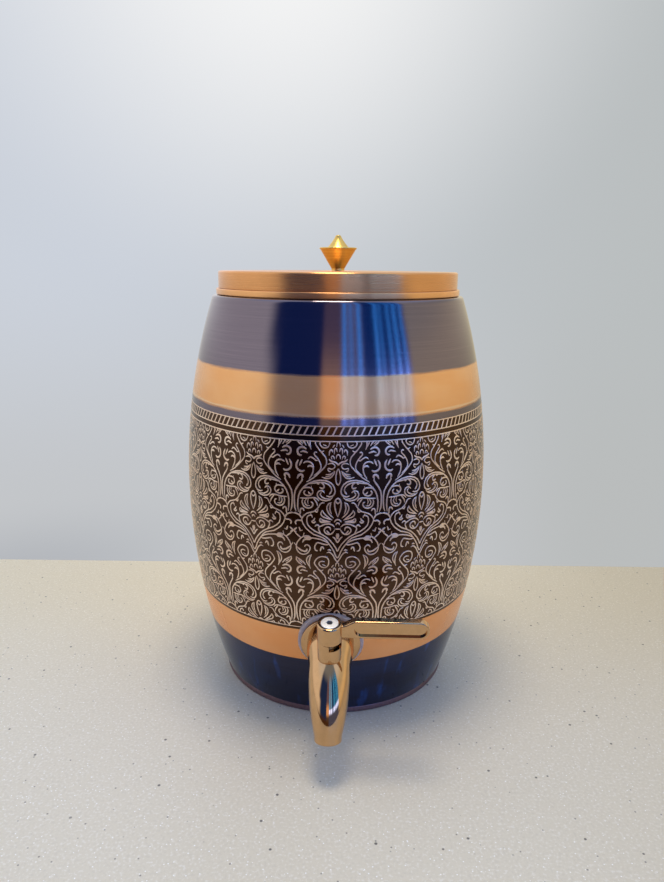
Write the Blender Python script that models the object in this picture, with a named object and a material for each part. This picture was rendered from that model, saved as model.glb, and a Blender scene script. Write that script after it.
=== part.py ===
"""A barrel-shaped copper water dispenser with a lift-off lid and a quarter-turn ball tap.

Metres, +Z up. The origin is the centre of the foot rim's underside, and the tap points along -Y.
"""

import math

import bmesh
import bpy
from mathutils import Matrix, Vector

# Barrel wall
BELLY_RADIUS = 0.0905
BELLY_HEIGHT = 0.123
SHOULDER_RADIUS = 0.0735
SHOULDER_HEIGHT = 0.2329
SHOULDER_ROUND = 0.0022
RIM_RADIUS = 0.0707
RIM_HEIGHT = 0.0037
WALL = 0.0012
BARREL_SEGMENTS = 56
WALL_STEPS = 5
ROUND_STEPS = 3

# Clearance between touching pieces, and how far a cutter runs past what it cuts
SEAT_GAP = 0.0003
OVERRUN = 0.002

# Angles
QUARTER = math.radians(90)
SHARP_ANGLE = math.radians(35)

# Base pan
FOOT_RADIUS = 0.0704
FOOT_WIDTH = 0.003
FOOT_ROUND = 0.0006
PAN_THICKNESS = 0.0012
PAN_LIFT = 0.0043
PAN_FLANGE = 0.005

# Mouth ring
BEAD_RADIUS = 0.0708
BEAD_HEIGHT = 0.0033
BEAD_ROUND = 0.0005
NECK_RADIUS = 0.0682
NECK_HEIGHT = 0.0070
NECK_WALL = 0.0012
SPIGOT_RADIUS = 0.0664
SPIGOT_DEPTH = 0.0020
SPIGOT_WALL = 0.0010

# Lid
LID_SHEET = 0.0010
LID_HEIGHT = 0.0094
LID_ROUND = 0.0012
LID_INNER_ROUND = 0.0007

# Knob, in heights above its foot
KNOB_HEIGHT = 0.0201
KNOB_RIM_HEIGHT = 0.0126
KNOB_RIM_RADIUS = 0.0109
KNOB_RIM_EDGE = 0.0005
KNOB_NECK_RADIUS = 0.0034
KNOB_NECK_HEIGHT = 0.0012
KNOB_SPIRE_RADIUS = 0.0062
KNOB_TIP_RADIUS = 0.0014
KNOB_SEGMENTS = 24
SPIRE_STEPS = 5
KNOB_SCREW_RADIUS = 0.0019
KNOB_SCREW_REACH = 0.0085
KNOB_HEAD_RADIUS = 0.0036
KNOB_HEAD_HEIGHT = 0.0020
KNOB_HEAD_ROUND = 0.0010
KNOB_SLOT_WIDTH = 0.0010
KNOB_SLOT_DEPTH = 0.0007
KNOB_WASHER_RADIUS = 0.0052
KNOB_WASHER_THICKNESS = 0.0008

# Tap: where its axis meets the wall, and the sizes along that axis
TAP_HEIGHT = 0.0545
GASKET_RADIUS = 0.0176
GASKET_THICKNESS = 0.0010
GASKET_DEPTH = 0.0030
FLANGE_RADIUS = 0.0159
FLANGE_THICKNESS = 0.0020
FLANGE_ROUND = 0.0007
BELL_RADIUS = 0.0125
BELL_TURN = math.radians(20)
COLLAR_LENGTH = 0.0030
ELBOW_RADIUS = 0.0108
ELBOW_BEND = 0.0380
ELBOW_TURN = math.radians(68)
SPOUT_LENGTH = 0.0028
SPOUT_END_RADIUS = 0.0070
SPOUT_LIP_ROUND = 0.0007
SPOUT_BORE_RADIUS = 0.0050
BODY_SEGMENTS = 24
BODY_STEPS = 9

# Tap shank and what clamps it to the wall
SHANK_RADIUS = 0.0080
SHANK_BORE_RADIUS = 0.0050
SHANK_LENGTH = 0.0300
INNER_GASKET_RADIUS = 0.0135
INNER_GASKET_THICKNESS = 0.0032
SHANK_WASHER_RADIUS = 0.0130
SHANK_WASHER_THICKNESS = 0.0010
NUT_ACROSS_FLATS = 0.0210
NUT_THICKNESS = 0.0055
NUT_SIDES = 6

# Ball, seats and stem
STEM_REACH = 0.0200
BALL_RADIUS = 0.0048
BALL_BORE_RADIUS = 0.0030
BALL_STEPS = 8
SEAT_RING_RADIUS = 0.0052
SEAT_RING_THICKNESS = 0.0022
SLOT_WIDTH = 0.0022
SLOT_DEPTH = 0.0016
STEM_RADIUS = 0.0024
STEM_FLATS = 0.0040
STEM_COLLAR_RADIUS = 0.0040
STEM_COLLAR_HEIGHT = 0.0010
SEAL_THICKNESS = 0.0014
SEAL_STEPS = 8
STEM_WASHER_THICKNESS = 0.0006
GLAND_NUT_THICKNESS = 0.0020
GLAND_SLOT_WIDTH = 0.0010
GLAND_SLOT_DEPTH = 0.0007
TAP_SEGMENTS = 20

# Valve housing
HOUSING_RADIUS = 0.0061
HOUSING_TOP = 0.0180
HOUSING_WALL = 0.0015
HOUSING_FLOOR = 0.0069
NOTCH_DEPTH = 0.0033
NOTCH_START = math.radians(-92)
NOTCH_END = math.radians(25)
LUG_START = math.radians(2)
LUG_END = math.radians(22)
LUG_DEPTH = 0.0026

# Lever, its washer and its screw
TIP_STEPS = 8
LUG_STEPS = 2
HUB_RADIUS = 0.00635
HUB_HEIGHT = 0.0100
HUB_ROUND = 0.0004
SOCKET_DEPTH = 0.0060
COUNTERBORE_RADIUS = 0.0049
COUNTERBORE_DEPTH = 0.0024
LEVER_LENGTH = 0.0494
BLADE_HEIGHT = 0.0102
BLADE_THICKNESS = 0.0040
BLADE_LIFT = 0.0019
BLADE_ROUND = 0.0006
BLADE_SHARP_ANGLE = math.radians(40)
LEVER_NECK_HEIGHT = 0.0072
LEVER_NECK_LENGTH = 0.0062
LEVER_RISE_LENGTH = 0.0070
RECESS_RIM = 0.0012
RECESS_START = 0.0122
RECESS_DEPTH = 0.0011
LEVER_WASHER_RADIUS = 0.0034
LEVER_WASHER_THICKNESS = 0.0006
SCREW_HEAD_RADIUS = 0.0045
SCREW_HEAD_HEIGHT = 0.0011
SCREW_RADIUS = 0.0013
SCREW_LENGTH = 0.0072
HEX_KEY = 0.0030
HEX_DEPTH = 0.0007

# Looks: base colour, metallic, roughness
FINISHES = {
    "copper": ((0.72, 0.38, 0.22), 1.0, 0.32),
    "brass": ((0.83, 0.58, 0.22), 1.0, 0.25),
    "rose_gold": ((0.80, 0.55, 0.38), 1.0, 0.08),
    "steel": ((0.60, 0.60, 0.58), 1.0, 0.25),
    "pale_steel": ((0.80, 0.79, 0.76), 0.3, 0.40),
    "silicone": ((0.80, 0.78, 0.78), 0.0, 0.35),
    "white_polymer": ((0.86, 0.85, 0.82), 0.0, 0.40),
    "black_rubber": ((0.03, 0.03, 0.03), 0.0, 0.60),
}


# Scene helpers


def clear_scene():
    for obj in list(bpy.data.objects):
        bpy.data.objects.remove(obj, do_unlink=True)


def finish(name):
    found = bpy.data.materials.get(name)
    if found:
        return found
    colour, metallic, roughness = FINISHES[name]
    made = bpy.data.materials.new(name)
    made.use_nodes = True
    shader = made.node_tree.nodes["Principled BSDF"]
    shader.inputs["Base Color"].default_value = (*colour, 1.0)
    shader.inputs["Metallic"].default_value = metallic
    shader.inputs["Roughness"].default_value = roughness
    made.diffuse_color = (*colour, 1.0)
    return made


def add_object(name, mesh, look=None, parent=None, place=(0, 0, 0)):
    obj = bpy.data.objects.new(name, mesh)
    bpy.context.scene.collection.objects.link(obj)
    obj.parent = parent
    obj.location = place
    if look:
        mesh.materials.append(finish(look))
        mesh.shade_smooth()
        mesh.set_sharp_from_angle(angle=SHARP_ANGLE)
    return obj


def add_frame(name, place, tilt=0.0, parent=None):
    frame = bpy.data.objects.new(name, None)
    bpy.context.scene.collection.objects.link(frame)
    frame.parent = parent
    frame.location = place
    frame.rotation_euler = (tilt, 0, 0)
    return frame


def as_helper(obj):
    obj.hide_render = True
    obj.display_type = "WIRE"
    return obj


def boolean(obj, helper, operation="DIFFERENCE"):
    modifier = obj.modifiers.new(helper.name, "BOOLEAN")
    modifier.operation = operation
    modifier.object = helper
    modifier.solver = "EXACT"


def mesh_from(name, bm):
    mesh = bpy.data.meshes.new(name)
    bmesh.ops.recalc_face_normals(bm, faces=bm.faces)
    bm.to_mesh(mesh)
    bm.free()
    return mesh


# Shapes


def arc(centre, radius, start, end, steps):
    """Points (r, z) on an arc, its angles measured from +r towards +z."""
    angles = [start + (end - start) * i / steps for i in range(steps + 1)]
    return [(centre[0] + radius * math.cos(a), centre[1] + radius * math.sin(a)) for a in angles]


def turned_mesh(name, profile, segments):
    """Revolves a closed profile of (r, z) points about Z. Points on the axis become single vertices."""
    bm = bmesh.new()
    rings = []
    for radius, height in profile:
        if radius == 0:
            rings.append([bm.verts.new((0, 0, height))] * segments)
            continue
        ring = []
        for i in range(segments):
            angle = 2 * math.pi * i / segments
            ring.append(bm.verts.new((radius * math.cos(angle), radius * math.sin(angle), height)))
        rings.append(ring)
    closed = profile[0][0] != 0
    pairs = list(zip(rings, rings[1:]))
    if closed:
        pairs.append((rings[-1], rings[0]))
    for upper, lower in pairs:
        for i in range(segments):
            j = (i + 1) % segments
            corners = [upper[i], upper[j], lower[j], lower[i]]
            bm.faces.new(list(dict.fromkeys(corners)))
    return mesh_from(name, bm)


def turned(name, profile, segments, look=None, parent=None, place=(0, 0, 0)):
    return add_object(name, turned_mesh(name, profile, segments), look, parent, place)


def turn_onto_tap_axis(obj):
    """Lays a turned shape's +Z along the tap's outward axis, which is the tap frame's -Y."""
    obj.data.transform(Matrix.Rotation(QUARTER, 4, "X"))
    return obj


def turned_cut(obj, name, profile, frame, place=(0, 0, 0), segments=TAP_SEGMENTS):
    """Cuts a turned shape about Z out of obj."""
    boolean(obj, as_helper(turned(name, profile, segments, None, frame, place)))


def axial_cut(obj, name, profile, frame):
    """Cuts a turned shape about the tap's axis out of obj."""
    helper = turned(name, profile, TAP_SEGMENTS, None, frame)
    boolean(obj, as_helper(turn_onto_tap_axis(helper)))


def mesh_cut(obj, mesh, frame, place=(0, 0, 0)):
    """Cuts a mesh out of obj."""
    boolean(obj, as_helper(add_object(mesh.name, mesh, None, frame, place)))


def ring_profile(outer, inner, low, high, edge=0.0):
    """A washer's section, with its outer corners cut by edge."""
    if edge == 0:
        return [(inner, high), (outer, high), (outer, low), (inner, low)]
    return [
        (inner, high),
        (outer - edge, high),
        (outer, high - edge),
        (outer, low + edge),
        (outer - edge, low),
        (inner, low),
    ]


def disc_profile(radius, low, high, edge=0.0):
    """A disc's section, with its upper corner cut by edge."""
    if edge == 0:
        return [(0, high), (radius, high), (radius, low), (0, low)]
    return [(0, high), (radius - edge, high), (radius, high - edge), (radius, low), (0, low)]


def tube_mesh(name, stations, segments):
    """Skins round sections along a path in the YZ plane. A station is (y, z, heading, radius)."""
    bm = bmesh.new()
    rings = []
    for y, z, heading, radius in stations:
        side = Vector((1, 0, 0))
        up = Vector((0, -math.sin(heading), math.cos(heading)))
        centre = Vector((0, y, z))
        ring = []
        for i in range(segments):
            angle = 2 * math.pi * i / segments
            ring.append(bm.verts.new(centre + radius * (math.cos(angle) * side + math.sin(angle) * up)))
        rings.append(ring)
    for first, second in zip(rings, rings[1:]):
        for i in range(segments):
            j = (i + 1) % segments
            bm.faces.new((first[i], first[j], second[j], second[i]))
    bm.faces.new(rings[0])
    bm.faces.new(reversed(rings[-1]))
    return mesh_from(name, bm)


def slab_mesh(name, outline, low, high):
    """Extrudes an outline of (x, z) points along Y from low to high."""
    bm = bmesh.new()
    face = bm.faces.new([bm.verts.new((x, low, z)) for x, z in outline])
    grown = bmesh.ops.extrude_face_region(bm, geom=[face])
    moved = [item for item in grown["geom"] if isinstance(item, bmesh.types.BMVert)]
    bmesh.ops.translate(bm, verts=moved, vec=(0, high - low, 0))
    return mesh_from(name, bm)


def sector_mesh(name, radii, angles, heights, steps):
    """A block between two radii, two angles about Z and two heights."""
    sweep = [angles[0] + (angles[1] - angles[0]) * i / steps for i in range(steps + 1)]
    outline = [(radii[1] * math.cos(a), radii[1] * math.sin(a)) for a in sweep]
    outline += [(radii[0] * math.cos(a), radii[0] * math.sin(a)) for a in reversed(sweep)]
    bm = bmesh.new()
    face = bm.faces.new([bm.verts.new((x, y, heights[0])) for x, y in outline])
    grown = bmesh.ops.extrude_face_region(bm, geom=[face])
    moved = [item for item in grown["geom"] if isinstance(item, bmesh.types.BMVert)]
    bmesh.ops.translate(bm, verts=moved, vec=(0, 0, heights[1] - heights[0]))
    return mesh_from(name, bm)


def box_mesh(name, low, high):
    bm = bmesh.new()
    bmesh.ops.create_cube(bm, size=1)
    size = [high[i] - low[i] for i in range(3)]
    middle = [(high[i] + low[i]) / 2 for i in range(3)]
    bmesh.ops.scale(bm, verts=bm.verts, vec=size)
    bmesh.ops.translate(bm, verts=bm.verts, vec=middle)
    return mesh_from(name, bm)


def corner_radius(across_flats, sides):
    return across_flats / 2 / math.cos(math.pi / sides)


# Barrel


def wall_bow(end_radius, end_height):
    """Radius of the arc that leaves the belly upright and reaches the given end."""
    drop = BELLY_RADIUS - end_radius
    run = end_height - BELLY_HEIGHT
    return (run * run + drop * drop) / (2 * drop)


def wall_end(height):
    if height > BELLY_HEIGHT:
        return wall_bow(SHOULDER_RADIUS, SHOULDER_HEIGHT - SHOULDER_ROUND)
    return wall_bow(RIM_RADIUS, RIM_HEIGHT)


def wall_radius(height):
    """The outer wall's radius at a height."""
    bow = wall_end(height)
    return BELLY_RADIUS - bow + math.sqrt(bow * bow - (height - BELLY_HEIGHT) ** 2)


def wall_lean(height):
    """How far the outward normal tips below level, in radians."""
    return math.asin((BELLY_HEIGHT - height) / wall_end(height))


def wall_points(offset, top, bottom):
    """The wall's section moved outwards by offset, from top to bottom."""
    upper = [top + (BELLY_HEIGHT - top) * i / WALL_STEPS for i in range(WALL_STEPS)]
    lower = [BELLY_HEIGHT + (bottom - BELLY_HEIGHT) * i / WALL_STEPS for i in range(WALL_STEPS + 1)]
    return [(wall_radius(height) + offset, height) for height in upper + lower]


def shoulder_points(offset):
    """The rounded corner above the wall, from the flat shoulder down to the wall."""
    low_angle = -wall_lean(SHOULDER_HEIGHT - SHOULDER_ROUND)
    centre = (SHOULDER_RADIUS - SHOULDER_ROUND, SHOULDER_HEIGHT - SHOULDER_ROUND)
    return arc(centre, SHOULDER_ROUND + offset, QUARTER, low_angle, ROUND_STEPS)[:-1]


def barrel_profile():
    hole = SPIGOT_RADIUS + SEAT_GAP
    top = SHOULDER_HEIGHT - SHOULDER_ROUND
    outside = [(hole, SHOULDER_HEIGHT)] + shoulder_points(0) + wall_points(0, top, RIM_HEIGHT)
    inside = shoulder_points(-WALL) + wall_points(-WALL, top, RIM_HEIGHT)
    return outside + inside[::-1] + [(hole, SHOULDER_HEIGHT - WALL)]


def barrel_form(name, offset):
    """A helper: the solid inside the wall's surface moved outwards by offset."""
    profile = [(0, SHOULDER_HEIGHT)] + wall_points(offset, SHOULDER_HEIGHT - SHOULDER_ROUND, RIM_HEIGHT)
    return as_helper(turned(name, profile + [(0, RIM_HEIGHT)], BARREL_SEGMENTS))


def build_barrel(tap_frame):
    barrel = turned("barrel_shell", barrel_profile(), BARREL_SEGMENTS, "copper")
    drill = disc_profile(SHANK_RADIUS + SEAT_GAP, -SHANK_LENGTH / 2, SHANK_LENGTH / 2)
    axial_cut(barrel, "shank_drill", drill, tap_frame)


def build_base():
    flange_radius = RIM_RADIUS - WALL - SEAT_GAP
    flange_top = RIM_HEIGHT + PAN_FLANGE
    foot_top = RIM_HEIGHT - SEAT_GAP
    foot_round = arc((FOOT_RADIUS - FOOT_ROUND, FOOT_ROUND), FOOT_ROUND, 0, -QUARTER, ROUND_STEPS)
    profile = [
        (0, PAN_LIFT + PAN_THICKNESS),
        (flange_radius - PAN_THICKNESS, PAN_LIFT + PAN_THICKNESS),
        (flange_radius - PAN_THICKNESS, flange_top),
        (flange_radius, flange_top),
        (flange_radius, foot_top),
        (FOOT_RADIUS, foot_top),
        *foot_round,
        (FOOT_RADIUS - FOOT_WIDTH, 0),
        (FOOT_RADIUS - FOOT_WIDTH, PAN_LIFT),
        (0, PAN_LIFT),
    ]
    turned("base_pan", profile, BARREL_SEGMENTS, "copper")


def bead_top():
    return SHOULDER_HEIGHT + SEAT_GAP + BEAD_HEIGHT


def build_mouth_ring():
    low = SHOULDER_HEIGHT + SEAT_GAP
    neck_bore = NECK_RADIUS - NECK_WALL
    spigot_bore = SPIGOT_RADIUS - SPIGOT_WALL
    rounding = BEAD_RADIUS - BEAD_ROUND
    profile = [
        (neck_bore, bead_top() + NECK_HEIGHT),
        (NECK_RADIUS, bead_top() + NECK_HEIGHT),
        (NECK_RADIUS, bead_top()),
        *arc((rounding, bead_top() - BEAD_ROUND), BEAD_ROUND, QUARTER, 0, ROUND_STEPS),
        *arc((rounding, low + BEAD_ROUND), BEAD_ROUND, 0, -QUARTER, ROUND_STEPS),
        (SPIGOT_RADIUS, low),
        (SPIGOT_RADIUS, low - SPIGOT_DEPTH),
        (spigot_bore, low - SPIGOT_DEPTH),
        (spigot_bore, bead_top() - BEAD_HEIGHT / 2),
        (neck_bore, bead_top()),
    ]
    turned("mouth_ring", profile, BARREL_SEGMENTS, "copper")


# Lid and knob


def build_lid():
    """The lid's frame sits where its skirt meets the bead, so all heights here are above that seat."""
    seat = add_frame("lid_frame", (0, 0, bead_top() + SEAT_GAP))
    outer = NECK_RADIUS + SEAT_GAP + LID_SHEET
    inner = outer - LID_SHEET
    ceiling = LID_HEIGHT - LID_SHEET
    hole = KNOB_SCREW_RADIUS + SEAT_GAP
    outside = arc((outer - LID_ROUND, LID_HEIGHT - LID_ROUND), LID_ROUND, QUARTER, 0, ROUND_STEPS)
    inner_centre = (inner - LID_INNER_ROUND, ceiling - LID_INNER_ROUND)
    inside = arc(inner_centre, LID_INNER_ROUND, 0, QUARTER, ROUND_STEPS)
    profile = [(hole, LID_HEIGHT), *outside, (outer, 0), (inner, 0), *inside, (hole, ceiling)]
    turned("lid_shell", profile, BARREL_SEGMENTS, "copper", seat)
    build_knob(seat, LID_HEIGHT + SEAT_GAP)
    build_knob_fixing(seat, ceiling - SEAT_GAP)


def knob_spire():
    """The concave upper cone, from its tip down to its foot on the rim."""
    foot = KNOB_RIM_HEIGHT + KNOB_RIM_EDGE
    rise = KNOB_HEIGHT - foot
    spread = KNOB_SPIRE_RADIUS - KNOB_TIP_RADIUS
    curve = [i / SPIRE_STEPS for i in range(1, SPIRE_STEPS + 1)]
    return [(KNOB_TIP_RADIUS + spread * t * t, KNOB_HEIGHT - rise * t) for t in curve]


def build_knob(seat, foot):
    bore = KNOB_SCREW_RADIUS + SEAT_GAP
    depth = KNOB_SCREW_REACH
    profile = [
        (0, KNOB_HEIGHT),
        (KNOB_TIP_RADIUS, KNOB_HEIGHT),
        *knob_spire(),
        (KNOB_RIM_RADIUS - KNOB_RIM_EDGE, KNOB_RIM_HEIGHT + KNOB_RIM_EDGE),
        (KNOB_RIM_RADIUS, KNOB_RIM_HEIGHT),
        (KNOB_RIM_RADIUS - KNOB_RIM_EDGE, KNOB_RIM_HEIGHT - KNOB_RIM_EDGE),
        (KNOB_NECK_RADIUS, KNOB_NECK_HEIGHT),
        (KNOB_NECK_RADIUS, 0),
        (bore, 0),
        (bore, depth),
        (0, depth),
    ]
    turned("lid_knob", profile, KNOB_SEGMENTS, "brass", seat, (0, 0, foot))


def build_knob_fixing(seat, top):
    hole = KNOB_SCREW_RADIUS + SEAT_GAP
    washer_low = top - KNOB_WASHER_THICKNESS
    washer = ring_profile(KNOB_WASHER_RADIUS, hole, washer_low, top)
    turned("knob_washer", washer, TAP_SEGMENTS, "steel", seat)
    head_top = washer_low - SEAT_GAP
    head_low = head_top - KNOB_HEAD_HEIGHT
    shank_top = top + LID_SHEET + KNOB_SCREW_REACH
    corner = (KNOB_HEAD_RADIUS - KNOB_HEAD_ROUND, head_low + KNOB_HEAD_ROUND)
    profile = [
        (0, shank_top),
        (KNOB_SCREW_RADIUS, shank_top),
        (KNOB_SCREW_RADIUS, head_top),
        (KNOB_HEAD_RADIUS, head_top),
        *arc(corner, KNOB_HEAD_ROUND, 0, -QUARTER, ROUND_STEPS),
        (0, head_low),
    ]
    screw = turned("knob_screw", profile, TAP_SEGMENTS, "steel", seat)
    slot = box_mesh(
        "screw_slot",
        (-KNOB_HEAD_RADIUS - OVERRUN, -KNOB_SLOT_WIDTH / 2, head_low - OVERRUN),
        (KNOB_HEAD_RADIUS + OVERRUN, KNOB_SLOT_WIDTH / 2, head_low + KNOB_SLOT_DEPTH),
    )
    mesh_cut(screw, slot, seat)


# Tap body, in the tap frame: X right, -Y outwards along the tap's axis, Z up the stem


def flange_back():
    return GASKET_THICKNESS + 2 * SEAT_GAP


def elbow_start():
    return flange_back() + FLANGE_THICKNESS + COLLAR_LENGTH


def elbow_point(turn):
    """The elbow's centre line: reach outwards and height, after turning down by an angle."""
    return elbow_start() + ELBOW_BEND * math.sin(turn), ELBOW_BEND * (math.cos(turn) - 1)


def spout_end(run):
    reach, height = elbow_point(ELBOW_TURN)
    return reach + run * math.cos(ELBOW_TURN), height - run * math.sin(ELBOW_TURN)


def eased(t):
    return t * t * (3 - 2 * t)


def elbow_radius(turn):
    """A bell behind the housing, an even middle, then a taper that quickens towards the spout's end."""
    if turn < BELL_TURN:
        return BELL_RADIUS + (ELBOW_RADIUS - BELL_RADIUS) * eased(turn / BELL_TURN)
    share = (turn - BELL_TURN) / (ELBOW_TURN - BELL_TURN)
    return ELBOW_RADIUS + (SPOUT_END_RADIUS - ELBOW_RADIUS) * share * share


def body_stations():
    stations = [(-flange_back() - FLANGE_ROUND, 0.0, 0.0, BELL_RADIUS)]
    for i in range(BODY_STEPS + 1):
        turn = ELBOW_TURN * i / BODY_STEPS
        reach, height = elbow_point(turn)
        stations.append((-reach, height, turn, elbow_radius(turn)))
    for run, radius in (
        (SPOUT_LENGTH - SPOUT_LIP_ROUND, SPOUT_END_RADIUS),
        (SPOUT_LENGTH, SPOUT_END_RADIUS - SPOUT_LIP_ROUND),
    ):
        reach, height = spout_end(run)
        stations.append((-reach, height, ELBOW_TURN, radius))
    return stations


def spout_bore_stations():
    """The water way from the ball, drawn down onto the elbow's centre line and out of the spout's end."""
    chamber_end = STEM_REACH + BALL_RADIUS
    start_turn = math.asin((chamber_end - elbow_start()) / ELBOW_BEND)
    lift = -elbow_point(start_turn)[1]
    stations = [(-STEM_REACH, 0.0, 0.0, BALL_BORE_RADIUS)]
    for i in range(BODY_STEPS + 1):
        share = i / BODY_STEPS
        turn = start_turn + (ELBOW_TURN - start_turn) * share
        reach, height = elbow_point(turn)
        radius = BALL_BORE_RADIUS + (SPOUT_BORE_RADIUS - BALL_BORE_RADIUS) * eased(share)
        stations.append((-reach, height + lift * (1 - share) ** 2, turn, radius))
    reach, height = spout_end(SPOUT_LENGTH + OVERRUN)
    return stations + [(-reach, height, ELBOW_TURN, SPOUT_BORE_RADIUS)]


def build_tap_body(tap_frame):
    mesh = tube_mesh("tap_body", body_stations(), BODY_SEGMENTS)
    body = add_object("tap_body", mesh, "rose_gold", tap_frame)
    disc = disc_profile(FLANGE_RADIUS, flange_back(), flange_back() + FLANGE_THICKNESS, FLANGE_ROUND)
    flange = turned("flange_disc", disc, BODY_SEGMENTS, None, tap_frame)
    boolean(body, as_helper(turn_onto_tap_axis(flange)), "UNION")
    stem_place = (0, -STEM_REACH, 0)
    post = disc_profile(HOUSING_RADIUS, 0, HOUSING_TOP)
    housing = turned("housing_post", post, BODY_SEGMENTS, None, tap_frame, stem_place)
    boolean(body, as_helper(housing), "UNION")
    cut_water_way(body, tap_frame)
    cut_stem_well(body, tap_frame, stem_place)


def cut_water_way(body, tap_frame):
    shank_hole = disc_profile(SHANK_RADIUS + SEAT_GAP, -OVERRUN, shank_front() + SEAT_GAP)
    axial_cut(body, "shank_socket", shank_hole, tap_frame)
    chamber_radius = SEAT_RING_RADIUS + SEAT_GAP
    chamber = disc_profile(chamber_radius, OVERRUN, STEM_REACH + seat_back() + SEAT_GAP)
    axial_cut(body, "ball_chamber", chamber, tap_frame)
    mesh_cut(body, tube_mesh("spout_bore", spout_bore_stations(), TAP_SEGMENTS), tap_frame)


def well_radius():
    return HOUSING_RADIUS - HOUSING_WALL


def cut_stem_well(body, tap_frame, stem_place):
    """The housing's well for seals and gland, the stem's bore below it and the quarter-turn notch."""
    well = [
        (0, HOUSING_TOP + OVERRUN),
        (well_radius(), HOUSING_TOP + OVERRUN),
        (well_radius(), HOUSING_FLOOR),
        (STEM_RADIUS + SEAT_GAP, HOUSING_FLOOR),
        (STEM_RADIUS + SEAT_GAP, 0),
        (0, 0),
    ]
    turned_cut(body, "stem_well", well, tap_frame, stem_place)
    radii = (well_radius() - SEAT_GAP, HOUSING_RADIUS + OVERRUN)
    heights = (HOUSING_TOP - NOTCH_DEPTH, HOUSING_TOP + OVERRUN)
    notch = sector_mesh("quarter_notch", radii, (NOTCH_START, NOTCH_END), heights, BODY_STEPS)
    mesh_cut(body, notch, tap_frame, stem_place)


# What clamps the tap to the wall


def shank_front():
    """The shank's end bears on the back of the rear seat ring."""
    return STEM_REACH - seat_back() - SEAT_GAP


def build_shank(tap_frame):
    low = -SHANK_LENGTH
    high = shank_front()
    profile = ring_profile(SHANK_RADIUS, SHANK_BORE_RADIUS, low, high, SEAT_GAP)
    turn_onto_tap_axis(turned("tap_shank", profile, TAP_SEGMENTS, "steel", tap_frame))


def build_wall_fixing(tap_frame):
    hole = SHANK_RADIUS + SEAT_GAP
    outer = ring_profile(GASKET_RADIUS, hole, -GASKET_DEPTH, flange_back() - SEAT_GAP)
    gasket = turn_onto_tap_axis(turned("gasket_outer", outer, BODY_SEGMENTS, "silicone", tap_frame))
    boolean(gasket, barrel_form("wall_outside", SEAT_GAP))

    inner_front = -WALL + OVERRUN
    inner_back = -WALL - SEAT_GAP - INNER_GASKET_THICKNESS
    inner = ring_profile(INNER_GASKET_RADIUS, hole, inner_back, inner_front)
    gasket = turn_onto_tap_axis(turned("gasket_inner", inner, BODY_SEGMENTS, "silicone", tap_frame))
    boolean(gasket, barrel_form("wall_inside", -WALL - SEAT_GAP), "INTERSECT")

    washer_top = inner_back - SEAT_GAP
    washer_low = washer_top - SHANK_WASHER_THICKNESS
    washer = ring_profile(SHANK_WASHER_RADIUS, hole, washer_low, washer_top)
    turn_onto_tap_axis(turned("shank_washer", washer, TAP_SEGMENTS, "steel", tap_frame))

    nut_top = washer_low - SEAT_GAP
    nut_low = nut_top - NUT_THICKNESS
    corner = corner_radius(NUT_ACROSS_FLATS, NUT_SIDES)
    nut = turned("shank_nut", disc_profile(corner, nut_low, nut_top), NUT_SIDES, "steel", tap_frame)
    turn_onto_tap_axis(nut)
    axial_cut(nut, "nut_bore", disc_profile(hole, nut_low - OVERRUN, nut_top + OVERRUN), tap_frame)


# Ball and seats


def seat_back():
    """From the ball's centre to the flat back of a seat ring."""
    return BALL_RADIUS + SEAT_GAP / 2


def seat_profile():
    """A seat ring's section on the ball's axis, its dished face SEAT_GAP clear of the ball."""
    back = seat_back()
    front = back - SEAT_RING_THICKNESS
    dish = BALL_RADIUS + SEAT_GAP
    low_angle = math.acos(front / dish)
    high_angle = math.asin(BALL_BORE_RADIUS / dish)
    curve = [low_angle + (high_angle - low_angle) * i / ROUND_STEPS for i in range(ROUND_STEPS + 1)]
    face = [(dish * math.sin(a), dish * math.cos(a)) for a in curve]
    return [(BALL_BORE_RADIUS, back), (SEAT_RING_RADIUS, back), (SEAT_RING_RADIUS, front), *face]


def build_seats(tap_frame):
    place = (0, -STEM_REACH, 0)
    section = seat_profile()
    front = turned("valve_seat_front", section, TAP_SEGMENTS, "white_polymer", tap_frame, place)
    turn_onto_tap_axis(front)
    rear = turned("valve_seat_rear", section, TAP_SEGMENTS, "white_polymer", tap_frame, place)
    rear.data.transform(Matrix.Rotation(-QUARTER, 4, "X"))


def build_ball(stem_frame):
    """At rest the ball's bore lies across the tap, along the lever, so no water passes."""
    meridian = arc((0, 0), BALL_RADIUS, QUARTER, -QUARTER, BALL_STEPS)
    meridian[0] = (0, BALL_RADIUS)
    meridian[-1] = (0, -BALL_RADIUS)
    ball = turned("valve_ball", meridian, TAP_SEGMENTS, "steel", stem_frame)
    across = disc_profile(BALL_BORE_RADIUS, -BALL_RADIUS - OVERRUN, BALL_RADIUS + OVERRUN)
    bore = as_helper(turned("ball_bore", across, TAP_SEGMENTS, None, stem_frame))
    bore.data.transform(Matrix.Rotation(QUARTER, 4, "Y"))
    boolean(ball, bore)
    slot = box_mesh(
        "ball_slot",
        (-BALL_RADIUS, -SLOT_WIDTH / 2, BALL_RADIUS - SLOT_DEPTH),
        (BALL_RADIUS, SLOT_WIDTH / 2, BALL_RADIUS + OVERRUN),
    )
    mesh_cut(ball, slot, stem_frame)


# Stem, its seals and its gland


def hub_foot():
    return HOUSING_TOP + SEAT_GAP


def stem_top():
    return hub_foot() + SOCKET_DEPTH - SEAT_GAP


def collar_low():
    return HOUSING_FLOOR + 2 * SEAL_THICKNESS + 3 * SEAT_GAP


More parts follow.
